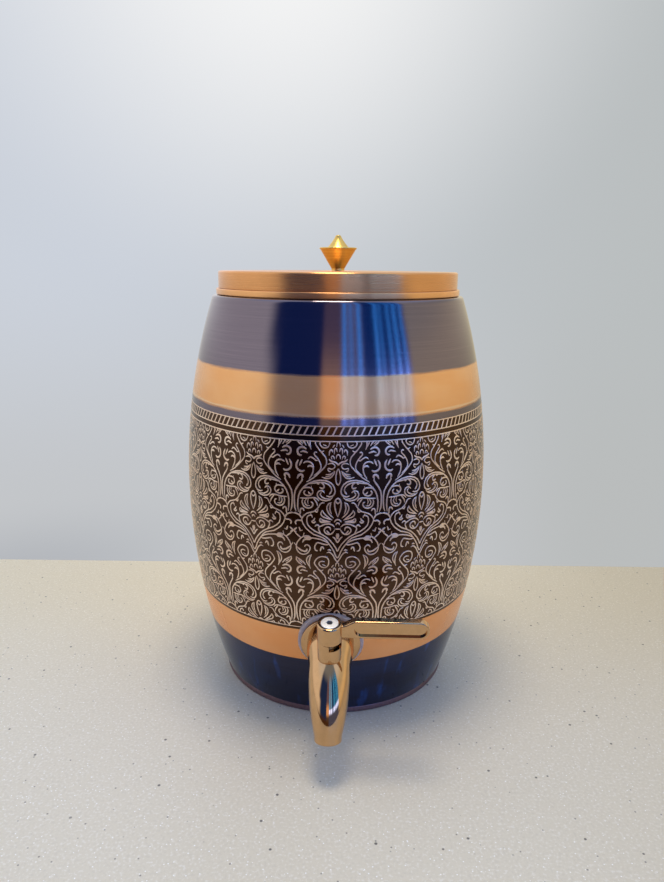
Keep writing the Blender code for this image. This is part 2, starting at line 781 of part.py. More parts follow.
def build_stem(stem_frame):
    tongue_low = BALL_RADIUS - SLOT_DEPTH + SEAT_GAP
    collar = (collar_low(), collar_low() + STEM_COLLAR_HEIGHT)
    hole = SCREW_RADIUS + SEAT_GAP
    hole_depth = screw_head_low() - SCREW_LENGTH - SEAT_GAP
    profile = [
        (hole, stem_top()),
        (STEM_RADIUS, stem_top()),
        (STEM_RADIUS, collar[1]),
        (STEM_COLLAR_RADIUS, collar[1]),
        (STEM_COLLAR_RADIUS, collar[0]),
        (STEM_RADIUS, collar[0]),
        (STEM_RADIUS, tongue_low),
        (0, tongue_low),
        (0, hole_depth),
        (hole, hole_depth),
    ]
    stem = add_object("valve_stem", stem_mesh("valve_stem", profile), "steel", stem_frame)
    for side in (-1, 1):
        tongue_heights = (tongue_low - OVERRUN, BALL_RADIUS + SEAT_GAP)
        cut_flat(stem, stem_frame, "tongue_side", side * (SLOT_WIDTH / 2 - SEAT_GAP), tongue_heights)
        flat_heights = (HOUSING_TOP, stem_top() + OVERRUN)
        cut_flat(stem, stem_frame, "stem_flat", side * STEM_FLATS / 2, flat_heights)


def stem_mesh(name, profile):
    """The stem's section meets the axis at two points part-way round its outline."""
    first = next(i for i, point in enumerate(profile) if point[0] == 0)
    ordered = profile[first + 1:] + profile[: first + 1]
    return turned_mesh(name, ordered, TAP_SEGMENTS)


def cut_flat(obj, frame, name, face, heights):
    """Cuts away all of obj beyond a flat at y = face, between two heights."""
    far = math.copysign(STEM_RADIUS + OVERRUN, face)
    low = (-STEM_RADIUS - OVERRUN, min(face, far), heights[0])
    high = (STEM_RADIUS + OVERRUN, max(face, far), heights[1])
    mesh_cut(obj, box_mesh(name, low, high), frame)


def build_seals(tap_frame):
    place = (0, -STEM_REACH, 0)
    bore = well_radius() - SEAT_GAP
    hole = STEM_RADIUS + SEAT_GAP
    middle = (bore + hole) / 2
    width = (bore - hole) / 2
    low = HOUSING_FLOOR + SEAT_GAP
    for name in ("stem_seal_lower", "stem_seal_upper"):
        centre = low + SEAL_THICKNESS / 2
        angles = [2 * math.pi * i / SEAL_STEPS for i in range(SEAL_STEPS)]
        section = [
            (middle + width * math.cos(a), centre - SEAL_THICKNESS / 2 * math.sin(a)) for a in angles
        ]
        turned(name, section, TAP_SEGMENTS, "black_rubber", tap_frame, place)
        low += SEAL_THICKNESS + SEAT_GAP

    washer_low = collar_low() + STEM_COLLAR_HEIGHT + SEAT_GAP
    washer_top = washer_low + STEM_WASHER_THICKNESS
    washer = ring_profile(bore, hole, washer_low, washer_top)
    turned("stem_washer", washer, TAP_SEGMENTS, "white_polymer", tap_frame, place)

    nut_low = washer_top + SEAT_GAP
    nut_top = nut_low + GLAND_NUT_THICKNESS
    section = ring_profile(bore, hole, nut_low, nut_top)
    nut = turned("gland_nut", section, TAP_SEGMENTS, "brass", tap_frame, place)
    slot = box_mesh(
        "gland_slot",
        (-bore - OVERRUN, -GLAND_SLOT_WIDTH / 2, nut_top - GLAND_SLOT_DEPTH),
        (bore + OVERRUN, GLAND_SLOT_WIDTH / 2, nut_top + OVERRUN),
    )
    mesh_cut(nut, slot, tap_frame, place)


# Lever, in the stem frame: X along the lever at rest


def hub_top():
    return hub_foot() + HUB_HEIGHT


def screw_head_low():
    return hub_top() - COUNTERBORE_DEPTH + LEVER_WASHER_THICKNESS + 2 * SEAT_GAP


def lever_outline():
    """The arm seen from the front: a low neck that sweeps up into a round-ended blade."""
    low = hub_foot() + BLADE_LIFT
    high = low + BLADE_HEIGHT
    half = BLADE_HEIGHT / 2
    neck_high = low + LEVER_NECK_HEIGHT
    outline = [(0, low), (0, neck_high), (LEVER_NECK_LENGTH, neck_high)]
    for i in range(1, BODY_STEPS):
        t = i / BODY_STEPS
        height = neck_high + (high - neck_high) * eased(t)
        outline.append((LEVER_NECK_LENGTH + LEVER_RISE_LENGTH * t, height))
    outline.append((LEVER_NECK_LENGTH + LEVER_RISE_LENGTH, high))
    outline += arc((LEVER_LENGTH - half, low + half), half, QUARTER, -QUARTER, TIP_STEPS)
    return outline


def recess_outline():
    low = hub_foot() + BLADE_LIFT + RECESS_RIM
    half = BLADE_HEIGHT / 2 - RECESS_RIM
    end = arc((LEVER_LENGTH - BLADE_HEIGHT / 2, low + half), half, QUARTER, -QUARTER, TIP_STEPS)
    start = arc((RECESS_START + half, low + half), half, -QUARTER, -3 * QUARTER, TIP_STEPS)
    return end + start


def build_lever(stem_frame):
    hub = [
        (0, hub_top()),
        (HUB_RADIUS - HUB_ROUND, hub_top()),
        (HUB_RADIUS, hub_top() - HUB_ROUND),
        (HUB_RADIUS, hub_foot()),
        (0, hub_foot()),
    ]
    lever = turned("lever", hub, BODY_SEGMENTS, "rose_gold", stem_frame)
    half = BLADE_THICKNESS / 2
    blade = slab_mesh("lever_arm", lever_outline(), -half, half)
    arm = as_helper(add_object("lever_arm", blade, None, stem_frame))
    bevel = arm.modifiers.new("edge_round", "BEVEL")
    bevel.width = BLADE_ROUND
    bevel.segments = 2
    bevel.angle_limit = BLADE_SHARP_ANGLE
    boolean(lever, arm, "UNION")
    recess = slab_mesh("lever_recess", recess_outline(), -half - OVERRUN, -half + RECESS_DEPTH)
    mesh_cut(lever, recess, stem_frame)
    radii = (well_radius() + SEAT_GAP, HUB_RADIUS)
    heights = (HOUSING_TOP - LUG_DEPTH, hub_foot() + HUB_ROUND)
    lug = sector_mesh("stop_lug", radii, (LUG_START, LUG_END), heights, LUG_STEPS)
    boolean(lever, as_helper(add_object("stop_lug", lug, None, stem_frame)), "UNION")
    cut_hub(lever, stem_frame)


def cut_hub(lever, stem_frame):
    """The hub's well for the screw's head, its through hole and its socket for the stem's flats."""
    well = disc_profile(COUNTERBORE_RADIUS, hub_top() - COUNTERBORE_DEPTH, hub_top() + OVERRUN)
    turned_cut(lever, "screw_well", well, stem_frame)
    through = disc_profile(SCREW_RADIUS + SEAT_GAP, hub_foot(), hub_top())
    turned_cut(lever, "screw_way", through, stem_frame)
    section = disc_profile(STEM_RADIUS + SEAT_GAP, hub_foot() - OVERRUN, hub_foot() + SOCKET_DEPTH)
    socket = turned("stem_socket", section, TAP_SEGMENTS, None, stem_frame)
    reach = STEM_RADIUS + OVERRUN
    face = STEM_FLATS / 2 + SEAT_GAP
    heights = (hub_foot() - 2 * OVERRUN, hub_foot() + SOCKET_DEPTH + OVERRUN)
    flats = box_mesh("socket_flats", (-reach, -face, heights[0]), (reach, face, heights[1]))
    boolean(socket, as_helper(add_object("socket_flats", flats, None, stem_frame)), "INTERSECT")
    boolean(lever, as_helper(socket))


def build_lever_fixing(stem_frame):
    washer_low = hub_top() - COUNTERBORE_DEPTH + SEAT_GAP
    washer_top = washer_low + LEVER_WASHER_THICKNESS
    washer = ring_profile(LEVER_WASHER_RADIUS, SCREW_RADIUS + SEAT_GAP, washer_low, washer_top)
    turned("lever_washer", washer, TAP_SEGMENTS, "steel", stem_frame)

    head_low = screw_head_low()
    head_top = head_low + SCREW_HEAD_HEIGHT
    profile = [
        (0, head_top),
        (SCREW_HEAD_RADIUS - SEAT_GAP, head_top),
        (SCREW_HEAD_RADIUS, head_top - SEAT_GAP),
        (SCREW_HEAD_RADIUS, head_low),
        (SCREW_RADIUS, head_low),
        (SCREW_RADIUS, head_low - SCREW_LENGTH),
        (0, head_low - SCREW_LENGTH),
    ]
    screw = turned("lever_screw", profile, TAP_SEGMENTS, "pale_steel", stem_frame)
    corner = corner_radius(HEX_KEY, NUT_SIDES)
    key = disc_profile(corner, head_top - HEX_DEPTH, head_top + OVERRUN)
    turned_cut(screw, "hex_key", key, stem_frame, segments=NUT_SIDES)


# Assembly


def build_tap():
    place = (0, -wall_radius(TAP_HEIGHT), TAP_HEIGHT)
    tap_frame = add_frame("tap_frame", place, wall_lean(TAP_HEIGHT))
    stem_frame = add_frame("stem_frame", (0, -STEM_REACH, 0), 0.0, tap_frame)
    build_barrel(tap_frame)
    build_tap_body(tap_frame)
    build_shank(tap_frame)
    build_wall_fixing(tap_frame)
    build_seats(tap_frame)
    build_seals(tap_frame)
    build_ball(stem_frame)
    build_stem(stem_frame)
    build_lever(stem_frame)
    build_lever_fixing(stem_frame)


def main():
    clear_scene()
    build_base()
    build_mouth_ring()
    build_lid()
    build_tap()


main()
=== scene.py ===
"""Dressed scene of a copper water dispenser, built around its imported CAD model.

Metres, +Z up. The origin is the centre of the foot rim's underside, and the tap points along -Y.
"""

import math

import bmesh
import bpy
from mathutils import Matrix, Vector

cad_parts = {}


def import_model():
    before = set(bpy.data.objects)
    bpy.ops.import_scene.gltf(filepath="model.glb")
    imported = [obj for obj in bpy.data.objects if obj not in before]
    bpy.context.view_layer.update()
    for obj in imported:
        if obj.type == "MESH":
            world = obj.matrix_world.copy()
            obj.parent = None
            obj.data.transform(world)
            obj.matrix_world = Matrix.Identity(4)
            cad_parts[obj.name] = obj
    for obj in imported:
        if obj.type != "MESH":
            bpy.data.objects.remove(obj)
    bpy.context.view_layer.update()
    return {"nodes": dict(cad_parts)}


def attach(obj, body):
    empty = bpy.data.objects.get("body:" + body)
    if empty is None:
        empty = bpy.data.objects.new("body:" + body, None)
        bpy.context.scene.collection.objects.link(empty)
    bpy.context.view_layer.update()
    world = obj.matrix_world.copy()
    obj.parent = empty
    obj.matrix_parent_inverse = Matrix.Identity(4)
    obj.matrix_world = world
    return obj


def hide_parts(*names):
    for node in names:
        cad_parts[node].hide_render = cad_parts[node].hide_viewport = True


QUARTER = math.radians(90)
SHARP_ANGLE = math.radians(30)
SEAT_GAP = 0.0003
OVERRUN = 0.002
WELD = 0.000002

# Barrel wall, as in the CAD
BELLY_RADIUS = 0.0905
BELLY_HEIGHT = 0.123
SHOULDER_RADIUS = 0.0735
SHOULDER_HEIGHT = 0.2329
SHOULDER_ROUND = 0.0022
RIM_RADIUS = 0.0707
RIM_HEIGHT = 0.0037
WALL = 0.0012
WALL_SEGMENTS = 168
WALL_STEP = 0.004
INSIDE_STEP = 0.012
ROUND_STEPS = 6
EDGE_STEPS = 3

# Base pan, mouth ring and lid, as in the CAD
FOOT_RADIUS = 0.0704
FOOT_WIDTH = 0.003
FOOT_ROUND = 0.0006
PAN_THICKNESS = 0.0012
PAN_LIFT = 0.0043
PAN_FLANGE = 0.005
BEAD_RADIUS = 0.0708
BEAD_HEIGHT = 0.0033
BEAD_ROUND = 0.0005
NECK_RADIUS = 0.0682
NECK_HEIGHT = 0.0070
NECK_WALL = 0.0012
SPIGOT_RADIUS = 0.0664
SPIGOT_DEPTH = 0.0020
SPIGOT_WALL = 0.0010
LID_SHEET = 0.0010
LID_HEIGHT = 0.0094
LID_ROUND = 0.0012
LID_INNER_ROUND = 0.0007

# Knob, in heights above its foot
KNOB_HEIGHT = 0.0201
KNOB_RIM_HEIGHT = 0.0126
KNOB_RIM_RADIUS = 0.0109
KNOB_RIM_EDGE = 0.0005
KNOB_NECK_RADIUS = 0.0038
KNOB_NECK_HEIGHT = 0.0012
KNOB_SPIRE_RADIUS = 0.0062
SPIRE_SWEEP = 1.3
KNOB_TIP_RADIUS = 0.0014
TIP_FLATNESS = 3.0
KNOB_SCREW_RADIUS = 0.0019
KNOB_SCREW_REACH = 0.0085
KNOB_SEGMENTS = 96
SPIRE_STEPS = 14

# Tap, as in the CAD
TAP_HEIGHT = 0.0545
GASKET_RADIUS = 0.0176
GASKET_THICKNESS = 0.0010
GASKET_DEPTH = 0.0030
GASKET_ROUND = 0.0003
GASKET_GAP = 0.0001
FLANGE_RADIUS = 0.0159
FLANGE_THICKNESS = 0.0020
FLANGE_ROUND = 0.0007
BELL_RADIUS = 0.0125
BELL_TURN = math.radians(20)
COLLAR_LENGTH = 0.0030
ELBOW_RADIUS = 0.0108
ELBOW_BEND = 0.0380
ELBOW_TURN = math.radians(68)
SPOUT_LENGTH = 0.0028
SPOUT_END_RADIUS = 0.0070
SPOUT_LIP_ROUND = 0.0007
SPOUT_BORE_RADIUS = 0.0050
SHANK_RADIUS = 0.0080
STEM_REACH = 0.0200
BALL_RADIUS = 0.0048
BALL_BORE_RADIUS = 0.0030
SEAT_RING_RADIUS = 0.0052
STEM_RADIUS = 0.0024
STEM_FLATS = 0.0040
HOUSING_RADIUS = 0.0061
HOUSING_TOP = 0.0180
HOUSING_WALL = 0.0015
HOUSING_FLOOR = 0.0069
HOUSING_EDGE = 0.0003
HOUSING_EDGE_STEPS = 2
NOTCH_DEPTH = 0.0033
NOTCH_START = math.radians(-92)
NOTCH_END = math.radians(25)
TAP_SEGMENTS = 72
TAP_STEPS = 30
ARC_STEPS = 5

# Lever and its screw, as in the CAD
HUB_RADIUS = 0.00635
HUB_HEIGHT = 0.0100
HUB_ROUND = 0.0009
SOCKET_DEPTH = 0.0060
COUNTERBORE_RADIUS = 0.0049
COUNTERBORE_DEPTH = 0.0024
LEVER_LENGTH = 0.0494
BLADE_HEIGHT = 0.0102
BLADE_THICKNESS = 0.0040
BLADE_LIFT = 0.0019
BLADE_ROUND = 0.0006
BLADE_STEPS = 4
LEVER_NECK_HEIGHT = 0.0072
LEVER_NECK_LENGTH = 0.0062
LEVER_RISE_LENGTH = 0.0070
RECESS_RIM = 0.0012
RECESS_START = 0.0122
RECESS_DEPTH = 0.0011
LUG_START = math.radians(2)
LUG_END = math.radians(22)
LUG_DEPTH = 0.0026
LEVER_WASHER_THICKNESS = 0.0006
SCREW_HEAD_RADIUS = 0.0045
SCREW_HEAD_HEIGHT = 0.0011
SCREW_EDGE = 0.0004
SCREW_RADIUS = 0.0013
SCREW_LENGTH = 0.0072
HEX_KEY = 0.0030
HEX_DEPTH = 0.0009
HEX_SIDES = 6
# Thickness of the dark sheet painted as shade on the floor of the screw's socket
SHADE_SHEET = 0.00005

# Heights where the wall's finish changes
LOWER_COPPER = (0.0400, 0.0598)
GROUND = (0.0612, 0.1676)
ROPE = (0.1676, 0.1730)
UPPER_COPPER = (0.1776, 0.1961)
RELIEF = 0.00012

# Ornament: a tile is drawn in units from the axis of its column, which is also its mirror, and from
# the middle of its fan. The columns keep their photographed spacing in front and spread a little at
# the back.
COLUMNS = 12
ROWS = (1, 0, -1, -2)
COLUMN_TURN = 28.8
COLUMN_SHIFT = 1.97
FRONT_COLUMNS = 2.5
BACK_SPREAD = 7.2
TILE_WIDTH = 90.3
TILE_HEIGHT = 119.0
UNIT_RISE = 0.000531
FAN_HEIGHT = 0.1255
ORNAMENT_LOW = -120.5
ORNAMENT_HIGH = 75.0
MOST_BEND = math.radians(24)
RIBBON_END = 0.45
BORDER_WIDTH = 0.00055
BORDER_HEIGHTS = (0.0616, 0.1653, 0.1681, 0.1727)
ROPE_STRANDS = 154
ROPE_SLANT = 0.0023
ROPE_WIDTH = 0.0009

# Strokes from the column's axis outwards, each drawn with its mirror image as one: width, then points
AXIS_STROKES = (
    (1.2, (0, 62.8), (1.7, 61.6), (2.2, 58.8)),
    (1.1, (0, 74.6), (1.4, 73.2), (1.8, 70.2)),
    (1.5, (0, 53.3), (1.7, 54.8), (3.8, 55.9), (6.4, 56.3), (8.2, 57.3), (9.4, 58.5)),
    (1.2, (0, 34.1), (1.8, 36.2), (2.5, 38.8), (2.3, 42.6), (1.4, 46.8), (0.1, 49.8)),
    (1.4, (0, 21.0), (2.3, 19.3), (3.3, 16.0), (3.0, 12.2), (2.0, 8.0), (0.1, 2.8)),
    (1.3, (0, 16.0), (1.2, 16.8), (2.4, 18.6)),
    (1.3, (0, 0.1), (2.2, -0.7), (3.5, -2.6)),
    (1.3, (0, -3.4), (1.3, -3.9), (1.9, -5.4)),
    (1.3, (0, -9.6), (3.2, -9.5)),
    (1.5, (0, -23.2), (1.8, -20.4), (3.2, -18.6), (4.9, -17.5)),
    (1.2, (0, -32.4), (1.6, -29.0), (4.2, -25.0), (8.0, -20.8), (12.0, -17.5), (17.0, -14.8),
     (23.0, -12.2), (27.4, -9.2), (30.0, -6.4), (31.1, -3.0), (31.1, 0.0), (30.2, 2.4), (27.8, 3.7),
     (26.0, 3.3), (25.5, 1.2)),
    (1.2, (0, -39.4), (2.0, -36.5), (3.5, -32.5), (6.0, -28.3), (8.8, -24.5), (11.3, -21.2),
     (14.5, -18.8), (19.0, -17.2), (24.0, -15.8), (28.5, -12.8), (32.0, -9.8), (34.7, -6.0),
     (36.2, -2.4), (36.1, 0.0), (34.3, 2.8), (31.5, 5.2), (28.0, 6.4), (24.0, 7.6), (21.0, 10.0),
     (19.0, 12.5), (17.8, 14.9), (15.8, 16.4), (13.2, 16.5)),
    (1.3, (0, -43.4), (2.6, -40.0), (4.3, -36.7), (6.5, -34.4), (8.7, -33.5), (10.8, -34.4)),
)

# Strokes beside the axis, each drawn twice, once mirrored
SIDE_STROKES = (
    # Scales of the bud
    (1.1, (3.9, 58.4), (4.5, 60.6), (5.8, 61.5), (7.0, 60.4), (6.4, 58.4)),
    (1.3, (1.2, 65.4), (1.8, 67.8), (3.0, 68.7), (4.0, 67.0), (4.2, 63.3)),
    (1.3, (5.8, 65.0), (6.4, 66.8), (7.6, 67.2), (8.9, 65.4), (9.2, 62.0)),
    (1.3, (3.5, 72.0), (4.7, 70.9), (5.8, 69.2)),
    # Loop and leaf under the bud
    (1.1, (10.8, 53.6), (8.2, 54.5), (5.6, 54.4), (3.9, 53.3), (3.3, 51.5), (4.6, 49.9), (6.6, 49.1),
     (8.4, 49.5), (9.9, 49.8), (10.2, 48.3), (9.0, 46.9), (7.6, 46.9)),
    (1.3, (3.3, 47.6), (4.3, 44.6), (6.4, 41.9), (9.0, 40.3), (12.0, 40.1), (16.2, 41.3)),
    (1.3, (4.0, 46.8), (6.6, 44.6), (9.6, 43.8), (12.3, 43.9)),
    (1.0, (6.4, 44.1), (9.0, 42.2), (12.6, 41.7)),
    # Side stem, from the spiral beside the bud down to the big scroll
    (1.2, (12.7, -43.9), (15.5, -43.4), (18.0, -44.3), (18.8, -46.6), (16.8, -49.1), (13.5, -50.1),
     (10.4, -48.9), (8.8, -45.8), (8.8, -42.0), (10.6, -39.3), (14.8, -38.3), (18.9, -39.3),
     (22.0, -42.0), (23.5, -45.5), (22.2, -48.3), (19.5, -51.7), (16.0, -55.3), (13.0, -58.6),
     (11.8, -61.7), (12.2, -66.0), (13.8, -68.4), (17.6, -72.3), (21.6, -76.0), (25.0, -78.8),
     (29.0, -81.2), (31.7, -82.9)),
    (1.6, (11.9, -48.2), (15.4, -46.9)),
    (1.2, (14.2, 66.5), (16.5, 65.3), (18.9, 66.4)),
    (1.2, (21.5, 64.3), (23.0, 64.9), (24.2, 63.9), (24.0, 62.0), (21.8, 60.0), (20.0, 57.8),
     (18.4, 55.2), (17.5, 52.5), (17.3, 50.0), (18.4, 47.7), (21.0, 45.0), (24.3, 42.5)),
    (1.3, (19.9, 57.2), (22.3, 56.9), (24.8, 58.8), (27.2, 59.9), (29.0, 59.6), (30.6, 58.2)),
    (1.4, (29.0, 39.4), (26.8, 42.3), (25.3, 46.0), (24.9, 50.0), (25.8, 53.0), (28.0, 55.0),
     (31.0, 55.7), (33.8, 55.0), (35.3, 53.7)),
    (1.8, (25.0, 49.8), (27.0, 51.4), (29.3, 51.7), (31.0, 50.6)),
    # Crescents and the bud beside the next axis
    (1.9, (32.4, 67.3), (35.0, 68.7), (38.0, 68.9), (40.7, 67.4), (41.7, 64.8), (40.8, 62.4),
     (39.0, 61.3), (36.9, 61.4)),
    (1.7, (30.8, 63.9), (33.5, 64.7), (36.0, 65.3), (38.6, 64.2)),
    (1.9, (40.3, 56.9), (41.9, 54.0), (42.5, 51.0), (41.5, 48.3), (39.0, 46.5), (36.0, 46.1),
     (33.9, 47.3)),
    (1.9, (36.4, 57.4), (37.8, 54.5), (39.3, 51.4)),
    (2.1, (35.4, 40.0), (36.1, 42.2), (38.0, 42.9), (40.1, 41.6), (41.3, 38.8)),
    # Big scroll
    (1.4, (39.7, 6.2), (40.5, 12.0), (40.4, 18.0), (39.6, 22.5), (37.8, 26.8), (34.6, 31.0),
     (30.0, 34.6), (24.0, 37.1), (18.0, 38.2), (13.0, 38.0), (9.0, 36.8), (5.6, 34.4), (3.6, 31.2),
     (2.9, 28.0), (3.7, 25.0), (5.8, 23.0), (8.8, 22.5), (11.4, 23.3)),
    (1.2, (30.0, 34.2), (24.0, 35.4), (18.0, 36.2), (13.5, 35.9), (9.8, 34.4), (7.4, 32.2), (6.4, 29.5),
     (6.9, 27.2), (8.6, 25.1)),
    (1.9, (7.2, 27.6), (7.4, 26.4), (8.8, 25.0)),
    (1.3, (5.2, 21.9), (8.0, 19.6), (12.0, 18.5), (16.0, 19.1), (19.2, 21.0), (20.8, 24.0),
     (19.8, 27.0), (17.5, 28.2), (15.0, 27.7), (13.5, 26.3)),
    (1.2, (8.0, 20.4), (12.5, 20.5), (15.5, 21.8), (17.5, 23.8), (17.5, 25.6), (16.3, 26.7)),
    (1.5, (17.2, 35.9), (14.8, 34.5), (13.9, 32.3), (14.8, 30.6), (16.8, 30.5), (18.3, 31.5)),
    (1.3, (18.6, 36.0), (19.8, 34.7), (21.4, 35.7)),
    # Spirals inside the big scroll
    (1.3, (36.4, 29.4), (32.5, 30.7), (29.0, 30.8), (26.7, 30.0), (25.4, 28.0), (25.3, 26.0),
     (26.8, 24.0), (29.0, 23.0), (32.0, 23.1), (34.0, 24.7), (34.0, 26.6), (32.6, 27.7)),
    (1.3, (26.8, 30.2), (26.6, 32.4)),
    (1.6, (27.2, 24.7), (28.8, 25.3), (30.0, 26.8)),
    (1.3, (19.0, 18.0), (21.0, 20.2), (24.5, 21.2), (28.5, 20.8), (32.5, 20.2), (36.0, 20.2),
     (38.4, 20.1)),
    (1.3, (20.2, 13.0), (21.3, 16.5), (23.0, 18.7), (24.5, 20.4)),
    (1.3, (35.2, 20.2), (36.0, 16.8), (35.0, 13.3), (32.5, 11.2), (29.0, 10.8), (26.3, 12.0),
     (25.0, 14.2), (25.6, 16.2), (27.3, 16.9)),
    (1.2, (31.5, 20.0), (33.2, 17.0), (32.4, 14.3), (30.5, 13.0), (28.0, 13.2)),
    (1.1, (29.6, 20.2), (30.4, 17.2), (29.8, 14.6)),
    # Stem beside the next axis, with its hooks
    (1.5, (36.6, 41.0), (36.1, 37.8), (38.2, 34.6), (41.0, 31.0), (43.2, 27.0), (44.1, 22.0),
     (44.1, 16.0), (43.6, 10.5), (42.2, 6.5)),
    (1.4, (33.9, 7.6), (35.1, 9.8), (37.0, 9.7), (37.9, 8.0), (37.9, 5.2), (38.5, 3.4)),
    (1.5, (36.4, -0.6), (37.4, 1.6), (38.7, 3.3), (41.2, 4.3), (43.4, 5.1), (45.1, 4.7)),
    (1.5, (36.3, -1.4), (37.8, -2.3), (39.8, -2.1), (41.8, -2.8), (43.0, -4.5), (42.1, -6.8)),
    # Fan
    (1.3, (6.4, 17.1), (9.2, 15.6), (10.9, 12.5), (10.7, 9.5), (9.0, 6.0), (6.8, 3.8), (4.2, 1.5)),
    (1.4, (6.8, 16.9), (7.7, 13.8), (8.1, 11.0), (7.6, 8.5), (6.3, 5.4)),
    (1.2, (5.7, -0.5), (9.0, 1.9), (12.2, 4.4), (14.3, 6.6), (15.4, 9.2)),
    (1.2, (5.7, -0.5), (10.5, 1.0), (14.5, 2.4), (16.8, 4.8), (16.6, 7.0), (15.4, 9.2)),
    (1.2, (7.2, -2.2), (11.0, -1.6), (15.0, -0.7), (17.4, 1.1)),
    (1.4, (7.2, -2.5), (12.0, -2.6), (16.4, -3.0), (18.0, -1.2), (17.4, 1.1)),
    (1.5, (11.0, -2.1), (16.6, -1.6)),
    # Volute under the fan
    (1.3, (3.0, -7.6), (5.4, -5.4), (9.0, -4.4), (13.0, -4.9), (16.5, -6.7), (18.9, -8.2),
     (18.9, -10.6), (17.8, -13.0), (16.4, -15.1)),
    (1.5, (17.8, -7.7), (19.8, -6.0), (21.5, -6.0), (23.0, -7.5)),
    (1.3, (2.9, -10.4), (4.8, -13.2), (7.6, -15.0), (10.8, -14.6), (13.2, -12.3), (13.1, -9.6),
     (11.2, -7.9), (8.8, -7.7), (7.3, -9.0), (7.1, -11.2)),
    (1.6, (8.0, -14.4), (9.6, -12.9), (11.1, -11.2)),
    (2.0, (0.6, -14.0), (0.8, -16.2), (0.4, -19.8)),
    # Hook and leaf inside the frame's corner
    (1.4, (26.9, 5.4), (27.6, 3.6)),
    (1.7, (22.9, 1.2), (24.0, -1.2), (26.4, -2.7)),
    (1.6, (22.0, -2.2), (24.0, -3.7), (26.5, -3.0)),
    (1.4, (19.8, 9.8), (21.0, 7.1), (23.0, 8.0)),
    # Branch under the frame and its spiral
    (1.2, (9.3, -24.3), (13.0, -22.0), (17.0, -20.6), (22.0, -19.7), (26.8, -19.3), (29.0, -17.8),
     (32.0, -17.6), (35.0, -18.5), (38.0, -20.7), (41.0, -24.5), (42.3, -28.0), (42.1, -31.5),
     (40.5, -34.6), (37.5, -36.7), (34.0, -37.0), (30.6, -35.4), (28.4, -32.3), (27.9, -29.3),
     (29.7, -27.2), (32.2, -27.0), (33.7, -29.1)),
    (1.8, (26.0, -19.7), (28.5, -20.9), (32.0, -21.0), (34.5, -22.2), (35.8, -24.7)),
    (2.2, (27.6, -19.4), (30.5, -19.0), (34.0, -19.6)),
    (1.7, (30.9, -30.8), (31.8, -33.3), (34.0, -33.8), (37.0, -33.0), (39.3, -31.5), (41.9, -29.4)),
    (1.6, (34.0, -14.6), (34.9, -18.3)),
    (1.5, (37.0, -20.2), (40.0, -17.8), (43.2, -15.3)),
    (1.7, (44.4, -25.8), (42.6, -28.4)),
    (1.3, (8.0, -25.2), (10.8, -25.8), (14.0, -25.4), (17.5, -24.4), (20.3, -23.9), (22.0, -25.8),
     (23.1, -28.7), (22.3, -31.9), (19.9, -32.6)),
    (1.5, (13.7, -30.6), (14.9, -28.4), (16.3, -28.7), (17.0, -31.0), (17.5, -32.8)),
    (1.6, (6.5, -31.8), (8.3, -30.9), (10.0, -31.3)),
    # Star on the next axis, and the small leaf beside it
    (1.8, (41.4, -9.8), (43.4, -11.5), (45.1, -12.8)),
    (2.0, (41.8, -14.8), (43.5, -13.9), (45.1, -12.8)),
    (1.6, (39.3, -9.0), (38.3, -11.2), (38.2, -13.1)),
    (1.6, (35.6, -12.0), (38.4, -13.0)),
    # Leaves above the second row
    (1.3, (26.3, -36.6), (28.2, -40.5), (29.0, -44.5), (28.8, -49.0), (27.5, -52.0)),
    (1.2, (26.5, -36.8), (29.9, -38.9), (31.6, -42.2), (31.2, -45.6), (29.4, -49.0)),
    (1.5, (32.6, -48.4), (35.0, -45.2), (39.0, -42.6), (42.5, -40.4)),
    (1.4, (36.4, -48.8), (40.0, -46.2), (42.4, -43.2), (42.6, -40.4)),
    (1.1, (36.0, -46.8), (38.2, -45.4), (40.5, -43.4)),
)

# Camera: place, heading left of +Y, dip, roll and lens on a 36 mm wide sensor
CAMERA_PLACE = (0.00889, -0.4194, 0.2496)
CAMERA_HEADING = 0.02737
CAMERA_DIP = 0.2479
CAMERA_ROLL = 0.0088
CAMERA_LENS = 37.66
SENSOR_WIDTH = 36.0
CAMERA_NEAR = 0.01

# Stage
FLOOR_DROP = 0.0002
FLOOR_SIZE = 3.0
# A line is the Y where it crosses the tap's plane, and its slope towards +X
WALL_LINE = (0.1368, 0.0196)
COUNTER_FRONT = (-0.275, 0.10)
LAMP_PLACE = (-0.022, -0.030, 0.90)
LAMP_SIZE = 0.24
LAMP_POWER = 2.9
LAMP_COLOUR = (1.0, 0.87, 0.68)

# Room light by direction. Azimuths are in degrees from the camera's side towards +X. Rises are the
# direction's height, from -1 straight down to 1 straight up. A pair of either is where a change starts
# and where it ends. Tones of one thing run from low to high. The dim side's left edge is given under,
# at and above the horizon, its right edge under and above it.
HORIZON = (-0.12, -0.04)
DIM_LEFT = ((-78.0, -64.0), (-58.0, -43.0), (-65.0, -51.0))
DIM_LEFT_RISE = (0.22, 0.36)
DIM_RIGHT = ((67.0, 76.0), (59.0, 65.0))
DIM_MIDDLE = (2.0, 5.0)
LEFT_TONE = (0.020, 0.050, 0.24)
LEFT_FOOT = (-0.12, 0.05)

